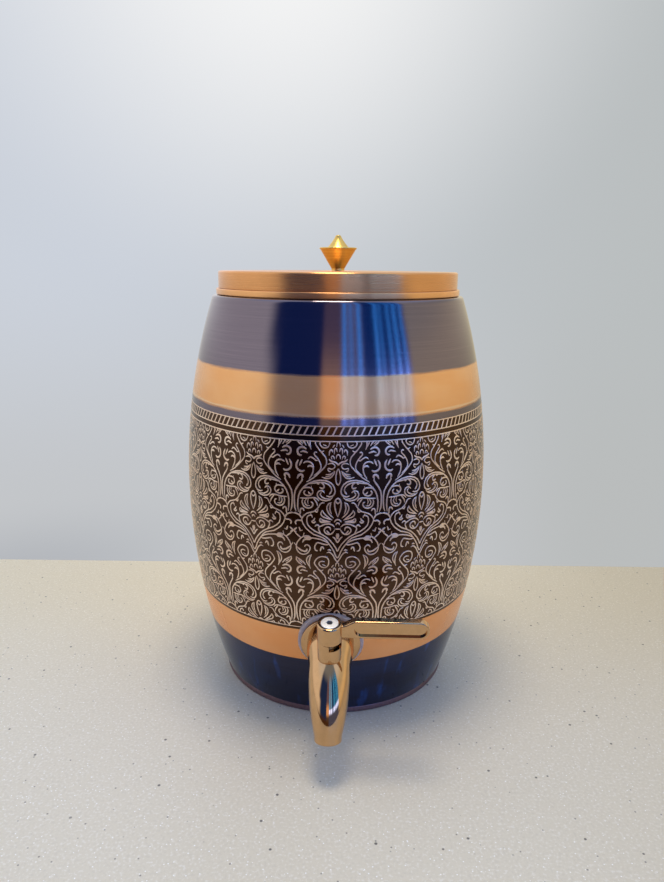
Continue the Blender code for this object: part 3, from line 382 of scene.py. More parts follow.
# Panes on the right of the dim side: middle, half width and strength
PANES = (
    (7.3, 0.9, 0.9),
    (12.8, 1.0, 0.5),
    (19.9, 1.1, 0.9),
    (34.8, 0.8, 1.0),
    (39.2, 1.0, 0.5),
    (46.4, 0.9, 0.75),
    (52.6, 0.9, 1.0),
    (58.9, 0.9, 0.8),
)
PANE_BLUR = 0.8
PANE_RISE = (0.195, 0.235)
PANE_FOOT = (0.05, 0.14)
PANE_TONES = ((2.10, 3.50, 9.00), (0.14, 0.95, 2.80))
RIGHT_TONES = ((0.70, 1.05, 2.90), (0.00, 0.08, 0.44))
RIGHT_GROUND = (-0.45, -0.15)
NEAR_TONES = ((0.85, 1.10, 2.60), (0.26, 0.33, 0.70))
NEAR_PANES = (4.0, 22.0)
GAP = (25.0, 31.0)
GAP_TONES = ((0.45, 0.75, 2.00), (0.01, 0.08, 0.42))
FRAME_BLUR = 2.0
UNDER_LEFT = (0.09, 0.045, 0.020)
UNDER_RIGHT = (0.10, 0.13, 0.32)

# Warm patch before the barrel
FIGURE = (-9.0, 3.0)
FIGURE_BLUR = 3.0
FIGURE_RISES = ((0.0, 0.12), (0.22, 0.42))
FIGURE_FOOT = (-0.16, -0.02)
FIGURE_TONES = ((0.12, 0.09, 0.09), (1.05, 0.68, 0.46), (0.20, 0.16, 0.30))

# Walls and ceiling. A tone that ends in WALL is multiplied in.
WALL_RISE = (-0.08, 0.16)
WALL_TONES = ((0.66, 0.65, 0.64), (0.96, 0.96, 1.00))
RIGHT_SPAN = (10.0, 60.0)
RIGHT_WALL = (0.97, 0.87, 0.62)
HIGH_RISE = (0.20, 0.40)
HIGH_RIGHT_WALL = (0.72, 0.80, 0.97)
SKY_RISE = (0.45, 0.80)
SKY_TONE = (0.80, 0.92, 1.18)
CEILING_RISE = (0.72, 0.92)
FAR_CEILING = (0.24, 0.32, 0.50)

# Backdrop that the camera sees. A span is in the direction's share across, and it and a pair of
# tones run towards +X.
BACKDROP_SPAN = (-0.40, 0.45)
BACKDROP = ((0.600, 0.640, 0.710), (0.49, 0.515, 0.52))
LOW_BACKDROP_SPAN = (0.12, 0.34)
LOW_BACKDROP_RISE = (-0.34, 0.02)
LOW_BACKDROP = ((0.545, 0.560, 0.580), (0.49, 0.505, 0.505))
SHADE_SPAN = (-0.44, -0.14)
SHADE_RISE = (-0.40, -0.30)
SHADE_SHARE = 0.55
BACKDROP_SHADE = (0.36, 0.38, 0.42)
GLOW_PLACE = (-0.09, 0.91, 0.40)
GLOW_REACH = 0.50
GLOW_TONE = (0.92, 0.92, 0.92)

# Noise of the finishes: cells per metre along X, Y and Z, octaves, and how strong the fine ones are
SPUN = ((14.0, 14.0, 2600.0), 3.0, 0.7)
FINE_SPUN = ((30.0, 30.0, 9000.0), 2.0, 0.5)
BARREL_CLOUD = ((30.0, 30.0, 60.0), 3.0, 0.5)
LID_CLOUD = ((40.0, 40.0, 80.0), 3.0, 0.5)
LINE_CLOUD = ((90.0, 90.0, 90.0), 3.0, 0.5)
RAGGED = ((60.0, 60.0, 900.0), 2.0, 0.5)
# Noise for the blue streaks painted on the band at the foot as reflections of the panes
WINDOW_STREAK_NOISE = ((150.0, 150.0, 10.0), 2.0, 0.5)
HAZE = ((220.0, 220.0, 220.0), 4.0, 0.5)
RIPPLE = ((90.0, 90.0, 90.0), 1.0, 0.5)
TURNED = ((40.0, 40.0, 6000.0), 2.0, 0.5)
METAL_GRAIN = ((600.0, 600.0, 600.0), 3.0, 0.5)
MOULDED_GRAIN = ((900.0, 900.0, 900.0), 3.0, 0.5)
STONE_CLOUD = ((6.0, 6.0, 6.0), 4.0, 0.5)
STONE_GRAIN = ((700.0, 700.0, 700.0), 2.0, 0.5)

# Steps from one tone to another: the noise where it starts and ends, and the shares at both if they
# aren't 0 and 1
CLOUD_STEP = (0.3, 0.7)
GRAIN_STEP = (0.4, 0.7)
HAZE_STEP = (0.35, 0.7)
WINDOW_STREAK_STEP = (0.56, 0.72)
SMOKE_STEP = (0.42, 0.62, 0.6, 0.0)
BRUSHED_STEP = (0.50, 0.75, 0.0, 0.50)
DEEP_STEP = (0.25, 0.45, 0.50, 0.0)
DARK_LINE_STEP = (0.55, 0.8, 0.0, 0.25)
LID_LINE_STEP = (0.5, 0.8, 0.0, 0.4)

# Reliefs: strength and depth
BARREL_RELIEF = (0.10, 0.00005)
SPUN_RELIEF = (0.15, 0.00005)
LINE_RELIEF = (0.15, 0.00004)
TURNED_RELIEF = (0.2, 0.00006)
PLATING_RELIEF = (0.08, 0.0004)
GRAIN_RELIEF = (0.1, 0.00005)

# Roughness: its middle and how far it spreads with the noise
BARREL_GLOSS = (0.13, 0.06)
LINE_GLOSS = (0.36, 0.16)
BRASS_GLOSS = (0.32, 0.16)
PLATING_GLOSS = (0.07, 0.08)
STONE_GLOSS = (0.43, 0.10)
SPUN_SPREAD = 0.16
METAL_SPREAD = 0.14
MOULDED_SPREAD = 0.16

# Barrel. The streak and SMOKY belong to the band at the foot; the blue streak is a painted reflection
# of the panes. The upper band's lacquer is painted paler than the ground's, for the brighter light it
# reflects. BRUSHED_LACQUER, DEEP_LACQUER and LOW_COPPER are multiplied in.
GROUND_LACQUER = (0.086, 0.046, 0.027)
# The same lacquer as the ground's, painted paler for the brighter light that the upper band reflects
PAINTED_LIT_LACQUER = (0.190, 0.158, 0.185)
LOWER_LACQUER = (0.044, 0.054, 0.115)
# Blue of the streaks: a painted reflection of the panes
PAINTED_WINDOW_STREAK = (0.050, 0.100, 0.330)
SMOKY = (0.045, 0.042, 0.060)
BRUSHED_LACQUER = (1.45, 1.40, 1.35)
DEEP_LACQUER = (0.62, 0.60, 0.66)
COPPER = (0.95, 0.47, 0.165)
PALE_COPPER = (0.97, 0.53, 0.22)
DARK_COPPER = (0.66, 0.30, 0.12)
LOW_COPPER = (1.0, 0.86, 0.80)
# A pale line painted at the upper copper band's lower edge: a painted highlight where a ridge would
# catch the lamp
PAINTED_RIDGE_HIGHLIGHT = (0.97, 0.62, 0.32)
RIDGE_HIGHLIGHT_SPAN = (-0.0002, 0.0003)
RIDGE_HIGHLIGHT_BLUR = 0.0006
WORN_BLUR = 0.0018
CLEAN_BLUR = 0.0003
RAG = 0.0016
COPPER_HAZE = 0.34
COPPER_ROUGHER = 0.10
SPUN_METALLIC = 0.88
SPUN_ANISOTROPY = 0.9
SPUN_TURN = 0.25
PALER = 1.12

# Other finishes
LID_COPPER = ((0.76, 0.36, 0.130), 0.29)
RIM_COPPER = ((0.90, 0.46, 0.18), 0.30)
ETCHED_METALLIC = 0.9
ETCHED_TONES = ((0.98, 0.79, 0.62), (0.92, 0.68, 0.50))
BRASS_TONES = ((0.82, 0.56, 0.15), (0.68, 0.40, 0.09))
PLATING = (0.62, 0.38, 0.19)
PLATING_SHADE = 0.93
METAL_SHADE = 0.86
MOULDED_SHADE = 0.88

# Plain metals by name: colour and roughness
METALS = {
    "steel": ((0.62, 0.62, 0.60), 0.26),
    "gland_brass": ((0.80, 0.58, 0.26), 0.30),
    # The foot rim's copper is painted dark and purplish: painted shade under the belly and a painted
    # reflection of the bluish shaded floor
    "shaded_foot_copper": ((0.26, 0.165, 0.17), 0.5),
    "pale_steel": ((0.93, 0.92, 0.90), 0.55),
}

# Rubbers and plastics by name: colour, roughness and the share of light that passes
MOULDINGS = {
    "seal_rubber": ((0.03, 0.03, 0.03), 0.55, 0.0),
    "seat_polymer": ((0.84, 0.83, 0.80), 0.42, 0.0),
    "inner_silicone": ((0.80, 0.79, 0.78), 0.36, 0.4),
    # The clear silicone's pinkish tone is painted: it stands for the copper seen through the gasket
    "clear_silicone": ((0.72, 0.62, 0.60), 0.34, 0.30),
    # A near-black sheet that paints the shade on the floor of the screw's socket
    "painted_socket_shade": ((0.020, 0.022, 0.026), 0.5, 0.0),
}

# CAD nodes that keep their meshes, by material
KEPT_NODES = {
    "steel": (
        "tap_shank",
        "shank_washer",
        "shank_nut",
        "valve_ball",
        "valve_stem",
        "lever_washer",
        "knob_screw",
        "knob_washer",
    ),
    "gland_brass": ("gland_nut",),
    "seal_rubber": ("stem_seal_lower", "stem_seal_upper"),
    "seat_polymer": ("valve_seat_front", "valve_seat_rear", "stem_washer"),
    "inner_silicone": ("gasket_inner",),
}

# Stone. Its grain is lightened and darkened, each with a step and a tone.
STONE_TONES = ((0.675, 0.622, 0.487), (0.735, 0.682, 0.545))
STONE_GRAINS = (
    ((0.52, 0.72, 0.0, 0.38), (0.92, 0.90, 0.84)),
    ((0.30, 0.46, 0.16, 0.0), (0.45, 0.42, 0.37)),
)
# Chips: cells per metre, size within a cell, share of cells left out and colour
STONE_CHIPS = (
    (560.0, 0.22, 0.68, (0.97, 0.96, 0.92)),
    (300.0, 0.17, 0.86, (0.30, 0.27, 0.23)),
    (170.0, 0.15, 0.86, (0.16, 0.15, 0.13)),
)
CHIP_CORE_SHARE = 0.6
CHIP_STEP = 0.02
# Painted light on the slab: a warmer tone painted towards the wall and painted shade towards +X,
# between these places
STONE_WARM_LIGHT_SPAN = (-0.12, 0.11)
PAINTED_WARM_LIGHT = (0.98, 0.93, 0.80)
STONE_SHADE_SPAN = (0.03, 0.30)
PAINTED_FALLOFF_SHADE = (0.82, 0.78, 0.72)


# Node trees


class Look:
    """A node tree with short calls for the nodes that the looks share."""

    def __init__(self, owner):
        self.owner = owner
        self.owner.use_nodes = True
        self.tree = owner.node_tree

    def node(self, kind, *values, **settings):
        """Adds a node. Values fill its first inputs, each one a socket, a constant or None."""
        made = self.tree.nodes.new(kind)
        for key, value in settings.items():
            setattr(made, key, value)
        for socket, value in zip(made.inputs, values):
            self.put(socket, value)
        return made

    def put(self, socket, value):
        if isinstance(value, bpy.types.NodeSocket):
            self.tree.links.new(value, socket)
        elif value is not None:
            socket.default_value = value

    def sum(self, operation, *values):
        return self.node("ShaderNodeMath", *values, operation=operation).outputs[0]

    def mix(self, share, first, second, blend="MIX"):
        made = self.node("ShaderNodeMix", share, data_type="RGBA", blend_type=blend)
        for socket, value in zip(made.inputs[6:8], (first, second)):
            self.put(socket, (*value, 1.0) if isinstance(value, tuple) else value)
        return made.outputs[2]

    def blend(self, share, first, second):
        """A number between two others."""
        return self.node("ShaderNodeMix", share, None, first, second).outputs[0]

    def step(self, value, low, high, start=0.0, end=1.0):
        """A smooth step of value, from start at low to end at high."""
        kind = "ShaderNodeMapRange"
        made = self.node(kind, value, low, high, start, end, interpolation_type="SMOOTHSTEP")
        return made.outputs[0]

    def about(self, noise, middle, spread):
        """A number that follows a noise on both sides of a middle."""
        return self.sum("MULTIPLY_ADD", noise, spread, middle - spread / 2)

    def fall(self, value, low, high):
        """A smooth step from 1 at low to 0 at high."""
        return self.step(value, low, high, 1.0, 0.0)

    def window(self, value, low, high, edge):
        """1 between low and high, falling to 0 over edge beyond each."""
        rise = self.step(value, low - edge, low)
        return self.sum("MULTIPLY", rise, self.fall(value, high, high + edge))

    def point(self):
        return self.node("ShaderNodeTexCoord").outputs["Object"]

    def place(self):
        """The surface point's X, Y and Z."""
        return self.node("ShaderNodeSeparateXYZ", self.point()).outputs

    def noise(self, cells, octaves, roughness):
        """Noise with its own number of cells per metre along each axis."""
        scaled = self.node("ShaderNodeMapping", self.point())
        scaled.inputs["Scale"].default_value = cells
        made = self.node("ShaderNodeTexNoise", scaled.outputs[0])
        made.inputs["Scale"].default_value = 1.0
        made.inputs["Detail"].default_value = octaves
        made.inputs["Roughness"].default_value = roughness
        return made.outputs["Fac"]


class Surface(Look):
    """A material with one Principled shader."""

    def __init__(self, name, colour, metallic, roughness):
        super().__init__(bpy.data.materials.new(name))
        self.shader = self.tree.nodes["Principled BSDF"]
        self.set("Base Color", (*colour, 1.0))
        self.set("Metallic", metallic)
        self.set("Roughness", roughness)
        self.owner.diffuse_color = (*colour, 1.0)

    def set(self, name, value):
        self.put(self.shader.inputs[name], value)

    def gloss(self, noise, middle, spread):
        self.set("Roughness", self.about(noise, middle, spread))

    def relief(self, height, strength, depth):
        made = self.node("ShaderNodeBump")
        made.inputs["Strength"].default_value = strength
        made.inputs["Distance"].default_value = depth
        self.put(made.inputs["Height"], height)
        self.set("Normal", made.outputs[0])

    def upright_gleam(self):
        """Spun lines run round the axis, so the gleam is drawn out along the height."""
        tangent = self.node("ShaderNodeTangent", direction_type="RADIAL", axis="Z").outputs[0]
        self.set("Tangent", tangent)
        self.set("Anisotropic", SPUN_ANISOTROPY)
        self.set("Anisotropic Rotation", SPUN_TURN)


def toned(colour, share):
    """The colour made darker or lighter by a share."""
    return tuple(min(1.0, channel * share) for channel in colour)


# Finishes


def lacquer_tone(look, height, lines, cloud):
    """Brown under the ornament and smoky blue at the foot, with blue streaks that are painted
    reflections of the panes. Above the ornament the same lacquer is painted a paler warm grey, for the
    brighter light it reflects there.
    """
    above = look.step(height, ROPE[1] - CLEAN_BLUR, ROPE[1] + CLEAN_BLUR)
    below = look.fall(height, LOWER_COPPER[0] - CLEAN_BLUR, LOWER_COPPER[0] + CLEAN_BLUR)
    # Blue streaks painted on the foot band: painted reflections of the panes
    window_streaks = look.step(look.noise(*WINDOW_STREAK_NOISE), *WINDOW_STREAK_STEP)
    foot = look.mix(window_streaks, LOWER_LACQUER, PAINTED_WINDOW_STREAK)
    foot = look.mix(look.step(cloud, *SMOKE_STEP), foot, SMOKY)
    tone = look.mix(below, look.mix(above, GROUND_LACQUER, PAINTED_LIT_LACQUER), foot)
    tone = look.mix(look.step(lines, *BRUSHED_STEP), tone, BRUSHED_LACQUER, "MULTIPLY")
    return look.mix(look.step(lines, *DEEP_STEP), tone, DEEP_LACQUER, "MULTIPLY")


def copper_tone(look, wavy, lower, lines, cloud):
    """Cloudy brushed copper, with a pale line painted at the upper band's lower edge: a painted
    highlight where a ridge would catch the light from above.
    """
    tone = look.mix(look.step(cloud, *CLOUD_STEP), COPPER, PALE_COPPER)
    tone = look.mix(look.step(lines, *DARK_LINE_STEP), tone, DARK_COPPER)
    # Pale line painted at the band's edge: a painted highlight
    low, high = [UPPER_COPPER[0] + shift for shift in RIDGE_HIGHLIGHT_SPAN]
    tone = look.mix(look.window(wavy, low, high, RIDGE_HIGHLIGHT_BLUR), tone, PAINTED_RIDGE_HIGHLIGHT)
    return look.mix(lower, tone, LOW_COPPER, "MULTIPLY")


def barrel_finish():
    """Spun copper under a dark lacquer that was polished off in two bands."""
    look = Surface("barrel_finish", COPPER, 1.0, BARREL_GLOSS[0])
    height = look.place()["Z"]
    cloud = look.noise(*BARREL_CLOUD)
    wavy = look.sum("ADD", height, look.about(look.noise(*RAGGED), 0.0, RAG))
    lower = look.window(height, *LOWER_COPPER, CLEAN_BLUR)
    copper = look.sum("MAXIMUM", lower, look.window(wavy, *UPPER_COPPER, WORN_BLUR))
    lines = look.noise(*SPUN)
    lacquer = lacquer_tone(look, height, lines, cloud)
    look.set("Base Color", look.mix(copper, lacquer, copper_tone(look, wavy, lower, lines, cloud)))
    look.set("Metallic", look.sum("MULTIPLY_ADD", copper, -COPPER_HAZE, 1.0))
    rough = look.about(lines, *BARREL_GLOSS)
    look.set("Roughness", look.sum("MULTIPLY_ADD", copper, COPPER_ROUGHER, rough))
    look.relief(look.noise(*FINE_SPUN), *BARREL_RELIEF)
    look.upright_gleam()
    return look.owner


def spun_copper(name, colour, roughness):
    """Bare spun copper, as on the lid and the bead."""
    look = Surface(name, colour, SPUN_METALLIC, roughness)
    lines = look.noise(*SPUN)
    cloud = look.noise(*LID_CLOUD)
    tone = look.mix(look.step(cloud, *CLOUD_STEP), colour, toned(colour, PALER))
    look.set("Base Color", look.mix(look.step(lines, *LID_LINE_STEP), tone, DARK_COPPER))
    look.gloss(lines, roughness, SPUN_SPREAD)
    look.relief(look.noise(*FINE_SPUN), *SPUN_RELIEF)
    look.upright_gleam()
    return look.owner


def etched_line():
    """The etched lines stand bright and matt against the lacquer."""
    look = Surface("etched_line", ETCHED_TONES[0], ETCHED_METALLIC, LINE_GLOSS[0])
    lines = look.noise(*SPUN)
    cloud = look.step(look.noise(*LINE_CLOUD), *CLOUD_STEP)
    look.set("Base Color", look.mix(cloud, *ETCHED_TONES))
    look.gloss(lines, *LINE_GLOSS)
    look.relief(lines, *LINE_RELIEF)
    return look.owner


def plating():
    """Polished rose plating with faint cloudy haze."""
    look = Surface("rose_plating", PLATING, 1.0, PLATING_GLOSS[0])
    haze = look.noise(*HAZE)
    cloud = look.step(haze, *HAZE_STEP)
    look.set("Base Color", look.mix(cloud, PLATING, toned(PLATING, PLATING_SHADE)))
    look.gloss(haze, *PLATING_GLOSS)
    look.relief(look.noise(*RIPPLE), *PLATING_RELIEF)
    return look.owner


def grained(name, tones, metallic, gloss, noise, relief):
    """A plain finish whose tone, roughness and relief follow one noise."""
    look = Surface(name, tones[0], metallic, gloss[0])
    grain = look.noise(*noise)
    look.set("Base Color", look.mix(look.step(grain, *GRAIN_STEP), *tones))
    look.gloss(grain, *gloss)
    look.relief(grain, *relief)
    return look


def turned_brass():
    return grained("turned_brass", BRASS_TONES, 1.0, BRASS_GLOSS, TURNED, TURNED_RELIEF).owner


def plain_metal(name):
    colour, roughness = METALS[name]
    tones = (colour, toned(colour, METAL_SHADE))
    return grained(name, tones, 1.0, (roughness, METAL_SPREAD), METAL_GRAIN, GRAIN_RELIEF).owner


def moulded(name):
    """Rubber or plastic with a fine moulded grain."""
    colour, roughness, clear = MOULDINGS[name]
    tones = (colour, toned(colour, MOULDED_SHADE))
    gloss = (roughness, MOULDED_SPREAD)
    look = grained(name, tones, 0.0, gloss, MOULDED_GRAIN, GRAIN_RELIEF)
    look.set("Transmission Weight", clear)
    return look.owner


def speckled_stone():
    """Pale engineered stone with dark flecks, white chips and a fine grain, under painted warm light
    towards the wall and painted shade towards +X.
    """
    look = Surface("speckled_stone", STONE_TONES[1], 0.0, STONE_GLOSS[0])
    cloud = look.noise(*STONE_CLOUD)
    base = look.mix(cloud, *STONE_TONES)
    grain = look.noise(*STONE_GRAIN)
    for step, tone in STONE_GRAINS:
        base = look.mix(look.step(grain, *step), base, tone)
    for scale, size, left_out, tone in STONE_CHIPS:
        chips = look.node("ShaderNodeTexVoronoi", look.point())
        chips.inputs["Scale"].default_value = scale
        spot = look.fall(chips.outputs["Distance"], size * CHIP_CORE_SHARE, size)
        cell = look.node("ShaderNodeSeparateXYZ", chips.outputs["Color"]).outputs["X"]
        kept = look.step(cell, left_out, left_out + CHIP_STEP)
        base = look.mix(look.sum("MULTIPLY", spot, kept), base, tone)
    place = look.place()
    # Painted light: the slab is tinted warmer towards the wall and darker towards +X
    base = look.mix(look.step(place["Y"], *STONE_WARM_LIGHT_SPAN), base, PAINTED_WARM_LIGHT, "MULTIPLY")
    base = look.mix(look.step(place["X"], *STONE_SHADE_SPAN), base, PAINTED_FALLOFF_SHADE, "MULTIPLY")
    look.set("Base Color", base)
    look.gloss(cloud, *STONE_GLOSS)
    return look


# Shapes


def evenly(start, end, steps):
    """Values from start to end in even steps, both included."""
    return [start + (end - start) * i / steps for i in range(steps + 1)]


def round_turns(segments):
    return evenly(0, 2 * math.pi, segments)[:-1]


def arc(centre, radius, start, end, steps):
    """Points (r, z) on an arc, its angles measured from +r towards +z."""
    angles = evenly(start, end, steps)
    return [(centre[0] + radius * math.cos(a), centre[1] + radius * math.sin(a)) for a in angles]


def mesh_from(name, bm):
    mesh = bpy.data.meshes.new(name)
    bm.to_mesh(mesh)
    bm.free()
    return mesh


def solid_mesh(name, bm):
    """The mesh of a closed form, with its faces turned outwards."""
    bmesh.ops.recalc_face_normals(bm, faces=bm.faces)
    return mesh_from(name, bm)


def add_band(bm, first, second):
    """Faces between two rings. A ring that is one vertex over and over gives triangles."""
    for i in range(len(first)):
        j = (i + 1) % len(first)
        corners = (first[i], first[j], second[j], second[i])
        bm.faces.new(list(dict.fromkeys(corners)))


def turned_mesh(name, profile, segments):
    """Revolves a closed profile of (r, z) points about Z. Points on the axis become single vertices."""
    bm = bmesh.new()
    turns = round_turns(segments)
    rings = []
    for radius, height in profile:
        if radius == 0:
            rings.append([bm.verts.new((0, 0, height))] * segments)
            continue
        ring = [(radius * math.cos(turn), radius * math.sin(turn), height) for turn in turns]
        rings.append([bm.verts.new(point) for point in ring])
    pairs = list(zip(rings, rings[1:]))
    if profile[0][0] != 0:
        pairs.append((rings[-1], rings[0]))
    for upper, lower in pairs:
        add_band(bm, upper, lower)
    return solid_mesh(name, bm)


def tube_mesh(name, stations, segments):
    """Skins round sections along a path in the YZ plane. A station is (y, z, heading, radius)."""
    bm = bmesh.new()
    side = Vector((1, 0, 0))
    rings = []
    for y, z, heading, radius in stations:
        centre = Vector((0, y, z))
        up = Vector((0, -math.sin(heading), math.cos(heading)))
        spokes = [math.cos(turn) * side + math.sin(turn) * up for turn in round_turns(segments)]
        rings.append([bm.verts.new(centre + radius * spoke) for spoke in spokes])
    for first, second in zip(rings, rings[1:]):
        add_band(bm, first, second)
    bm.faces.new(rings[0])
    bm.faces.new(reversed(rings[-1]))
    return solid_mesh(name, bm)


def extruded(name, outline, shift):
    """A prism over an outline of points, moved by shift."""
    bm = bmesh.new()
    face = bm.faces.new([bm.verts.new(point) for point in outline])
    grown = bmesh.ops.extrude_face_region(bm, geom=[face])
    moved = [item for item in grown["geom"] if isinstance(item, bmesh.types.BMVert)]
    bmesh.ops.translate(bm, verts=moved, vec=shift)
    return solid_mesh(name, bm)


def slab_mesh(name, outline, low, high):
    """Extrudes an outline of (x, z) points along Y from low to high."""
    return extruded(name, [(x, low, z) for x, z in outline], (0, high - low, 0))


def sector_mesh(name, radii, angles, heights, steps):
    """A block between two radii, two angles about Z and two heights."""
    sweep = evenly(*angles, steps)
    outline = [(radii[1] * math.cos(a), radii[1] * math.sin(a), heights[0]) for a in sweep]
    outline += [(radii[0] * math.cos(a), radii[0] * math.sin(a), heights[0]) for a in reversed(sweep)]
    return extruded(name, outline, (0, 0, heights[1] - heights[0]))


def box_mesh(name, low, high):
    corners = [(low[0], low[1]), (high[0], low[1]), (high[0], high[1]), (low[0], high[1])]
    return extruded(name, [(x, y, low[2]) for x, y in corners], (0, 0, high[2] - low[2]))


def disc_profile(radius, low, high, edge=0.0, steps=1):
    """A disc's section, with its upper corner rounded by edge."""
    if edge == 0:
        return [(0, high), (radius, high), (radius, low), (0, low)]
    rim = arc((radius - edge, high - edge), edge, QUARTER, 0, steps)
    return [(0, high), *rim, (radius, low), (0, low)]


def outward(mesh):
    """Lays a turned shape's +Z along the tap's outward axis, which is the tap frame's -Y."""
    mesh.transform(Matrix.Rotation(QUARTER, 4, "X"))
    return mesh


def moved(mesh, matrix):
    mesh.transform(matrix)
    return mesh


def evaluated_mesh(obj, name):
    """The object's mesh with its modifiers applied. The object itself is removed."""
    graph = bpy.context.evaluated_depsgraph_get()
    graph.update()
    made = bpy.data.meshes.new_from_object(obj.evaluated_get(graph))
    made.name = name
    bpy.data.objects.remove(obj)
    return made


def welded(mesh):
    """The mesh without the slivers that a Boolean leaves, so that the next one finds it closed."""
    bm = bmesh.new()
    bm.from_mesh(mesh)
    bmesh.ops.remove_doubles(bm, verts=bm.verts, dist=WELD)
    bmesh.ops.dissolve_degenerate(bm, edges=bm.edges, dist=WELD)
    bm.to_mesh(mesh)
    bm.free()
    return mesh


def combined(mesh, operation, *others):
    """The exact union of a mesh with others, or their difference."""
    for other in others:
        target = bpy.data.objects.new(mesh.name, mesh)
        helper = bpy.data.objects.new(other.name, other)
        for obj in (target, helper):
            bpy.context.scene.collection.objects.link(obj)
        modifier = target.modifiers.new("combine", "BOOLEAN")
        modifier.operation = operation
        modifier.object = helper
        modifier.solver = "EXACT"
        mesh = welded(evaluated_mesh(target, mesh.name))
        bpy.data.objects.remove(helper)
    return mesh


def softened(mesh, width, steps, limit=QUARTER / 2):
    """The mesh with its sharp edges rounded."""
    target = bpy.data.objects.new(mesh.name, mesh)
    bpy.context.scene.collection.objects.link(target)
    modifier = target.modifiers.new("round", "BEVEL")
    modifier.width = width
    modifier.segments = steps
    modifier.angle_limit = limit
    return evaluated_mesh(target, mesh.name)


def add_piece(name, mesh, material, body, *nodes, slot=None, sharp=SHARP_ANGLE):
    """A finished piece that rides on a body and stands for CAD nodes."""
    mesh.materials.clear()
    mesh.materials.append(material)
    mesh.shade_smooth()
    mesh.set_sharp_from_angle(angle=sharp)
    obj = bpy.data.objects.new(name, mesh)
    bpy.context.scene.collection.objects.link(obj)
    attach(obj, body)
    if nodes:
        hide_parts(*nodes)
    return obj


# Barrel wall


def wall_bow(height):
    """Radius of the wall's arc above or below the belly."""
    end = (SHOULDER_RADIUS, SHOULDER_HEIGHT - SHOULDER_ROUND)
    if height <= BELLY_HEIGHT:
        end = (RIM_RADIUS, RIM_HEIGHT)
    drop = BELLY_RADIUS - end[0]
    run = end[1] - BELLY_HEIGHT
    return (run * run + drop * drop) / (2 * drop)


def wall_radius(height):
    bow = wall_bow(height)
    return BELLY_RADIUS - bow + math.sqrt(bow * bow - (height - BELLY_HEIGHT) ** 2)


def wall_lean(height):
    """How far the outward normal tips below level."""
    return math.asin((BELLY_HEIGHT - height) / wall_bow(height))


def shoulder_points(offset):
    low_angle = -wall_lean(SHOULDER_HEIGHT - SHOULDER_ROUND)
    centre = (SHOULDER_RADIUS - SHOULDER_ROUND, SHOULDER_HEIGHT - SHOULDER_ROUND)
    return arc(centre, SHOULDER_ROUND + offset, QUARTER, low_angle, ROUND_STEPS)[:-1]


def spread(top, bottom, step):
    """Heights from top down to bottom, evenly spaced and no further apart than step."""
    return evenly(top, bottom, max(1, math.ceil((top - bottom) / step)))


def outer_points():
    """The outside from the top down: the ornament's ground and the rope's lie RELIEF deep."""
    top = SHOULDER_HEIGHT - SHOULDER_ROUND
    zones = ((top, ROPE[1], 0.0), (ROPE[1], GROUND[0], RELIEF), (GROUND[0], RIM_HEIGHT, 0.0))
    points = []
    for high, low, depth in zones:
        points += [(wall_radius(z) - depth, z) for z in spread(high, low, WALL_STEP)]
    return points


def wall_mesh():
    hole = SPIGOT_RADIUS + SEAT_GAP
    top = SHOULDER_HEIGHT - SHOULDER_ROUND
    outside = [(hole, SHOULDER_HEIGHT)] + shoulder_points(0) + outer_points()
    inner = [(wall_radius(z) - WALL, z) for z in spread(top, RIM_HEIGHT, INSIDE_STEP)]
    inside = shoulder_points(-WALL) + inner
    profile = outside + inside[::-1] + [(hole, SHOULDER_HEIGHT - WALL)]
    mesh = turned_mesh("barrel_wall", profile, WALL_SEGMENTS)
    drill = disc_profile(SHANK_RADIUS + SEAT_GAP, -GASKET_RADIUS, GASKET_RADIUS)
    drill = moved(outward(turned_mesh("drill", drill, TAP_SEGMENTS)), tap_frame())
    return combined(mesh, "DIFFERENCE", drill)


def foot_mesh():
    flange = RIM_RADIUS - WALL - SEAT_GAP
    flange_top = RIM_HEIGHT + PAN_FLANGE
    foot_top = RIM_HEIGHT - SEAT_GAP
    edge = FOOT_ROUND / 2
    upper = arc((FOOT_RADIUS - edge, foot_top - edge), edge, QUARTER, 0, EDGE_STEPS)
    profile = [
        (0, PAN_LIFT + PAN_THICKNESS),
        (flange - PAN_THICKNESS, PAN_LIFT + PAN_THICKNESS),
        (flange - PAN_THICKNESS, flange_top),
        (flange, flange_top),
        (flange, foot_top),
        (FOOT_RADIUS - FOOT_ROUND, foot_top),
        *upper[1:],
        *arc((FOOT_RADIUS - FOOT_ROUND, FOOT_ROUND), FOOT_ROUND, 0, -QUARTER, ROUND_STEPS),
        (FOOT_RADIUS - FOOT_WIDTH, 0),
        (FOOT_RADIUS - FOOT_WIDTH, PAN_LIFT),
        (0, PAN_LIFT),
    ]
    return turned_mesh("foot", profile, WALL_SEGMENTS)


def bead_top():
    return SHOULDER_HEIGHT + SEAT_GAP + BEAD_HEIGHT


def mouth_mesh():
    low = SHOULDER_HEIGHT + SEAT_GAP
    neck_bore = NECK_RADIUS - NECK_WALL
    spigot_bore = SPIGOT_RADIUS - SPIGOT_WALL
    rounding = BEAD_RADIUS - BEAD_ROUND
    profile = [
        (neck_bore, bead_top() + NECK_HEIGHT),
        (NECK_RADIUS, bead_top() + NECK_HEIGHT),
        (NECK_RADIUS, bead_top()),
        *arc((rounding, bead_top() - BEAD_ROUND), BEAD_ROUND, QUARTER, 0, ROUND_STEPS),
        *arc((rounding, low + BEAD_ROUND), BEAD_ROUND, 0, -QUARTER, ROUND_STEPS),
        (SPIGOT_RADIUS, low),
        (SPIGOT_RADIUS, low - SPIGOT_DEPTH),
        (spigot_bore, low - SPIGOT_DEPTH),
        (spigot_bore, bead_top() - BEAD_HEIGHT / 2),
        (neck_bore, bead_top()),
    ]
    return turned_mesh("mouth", profile, WALL_SEGMENTS)


# Lid and knob


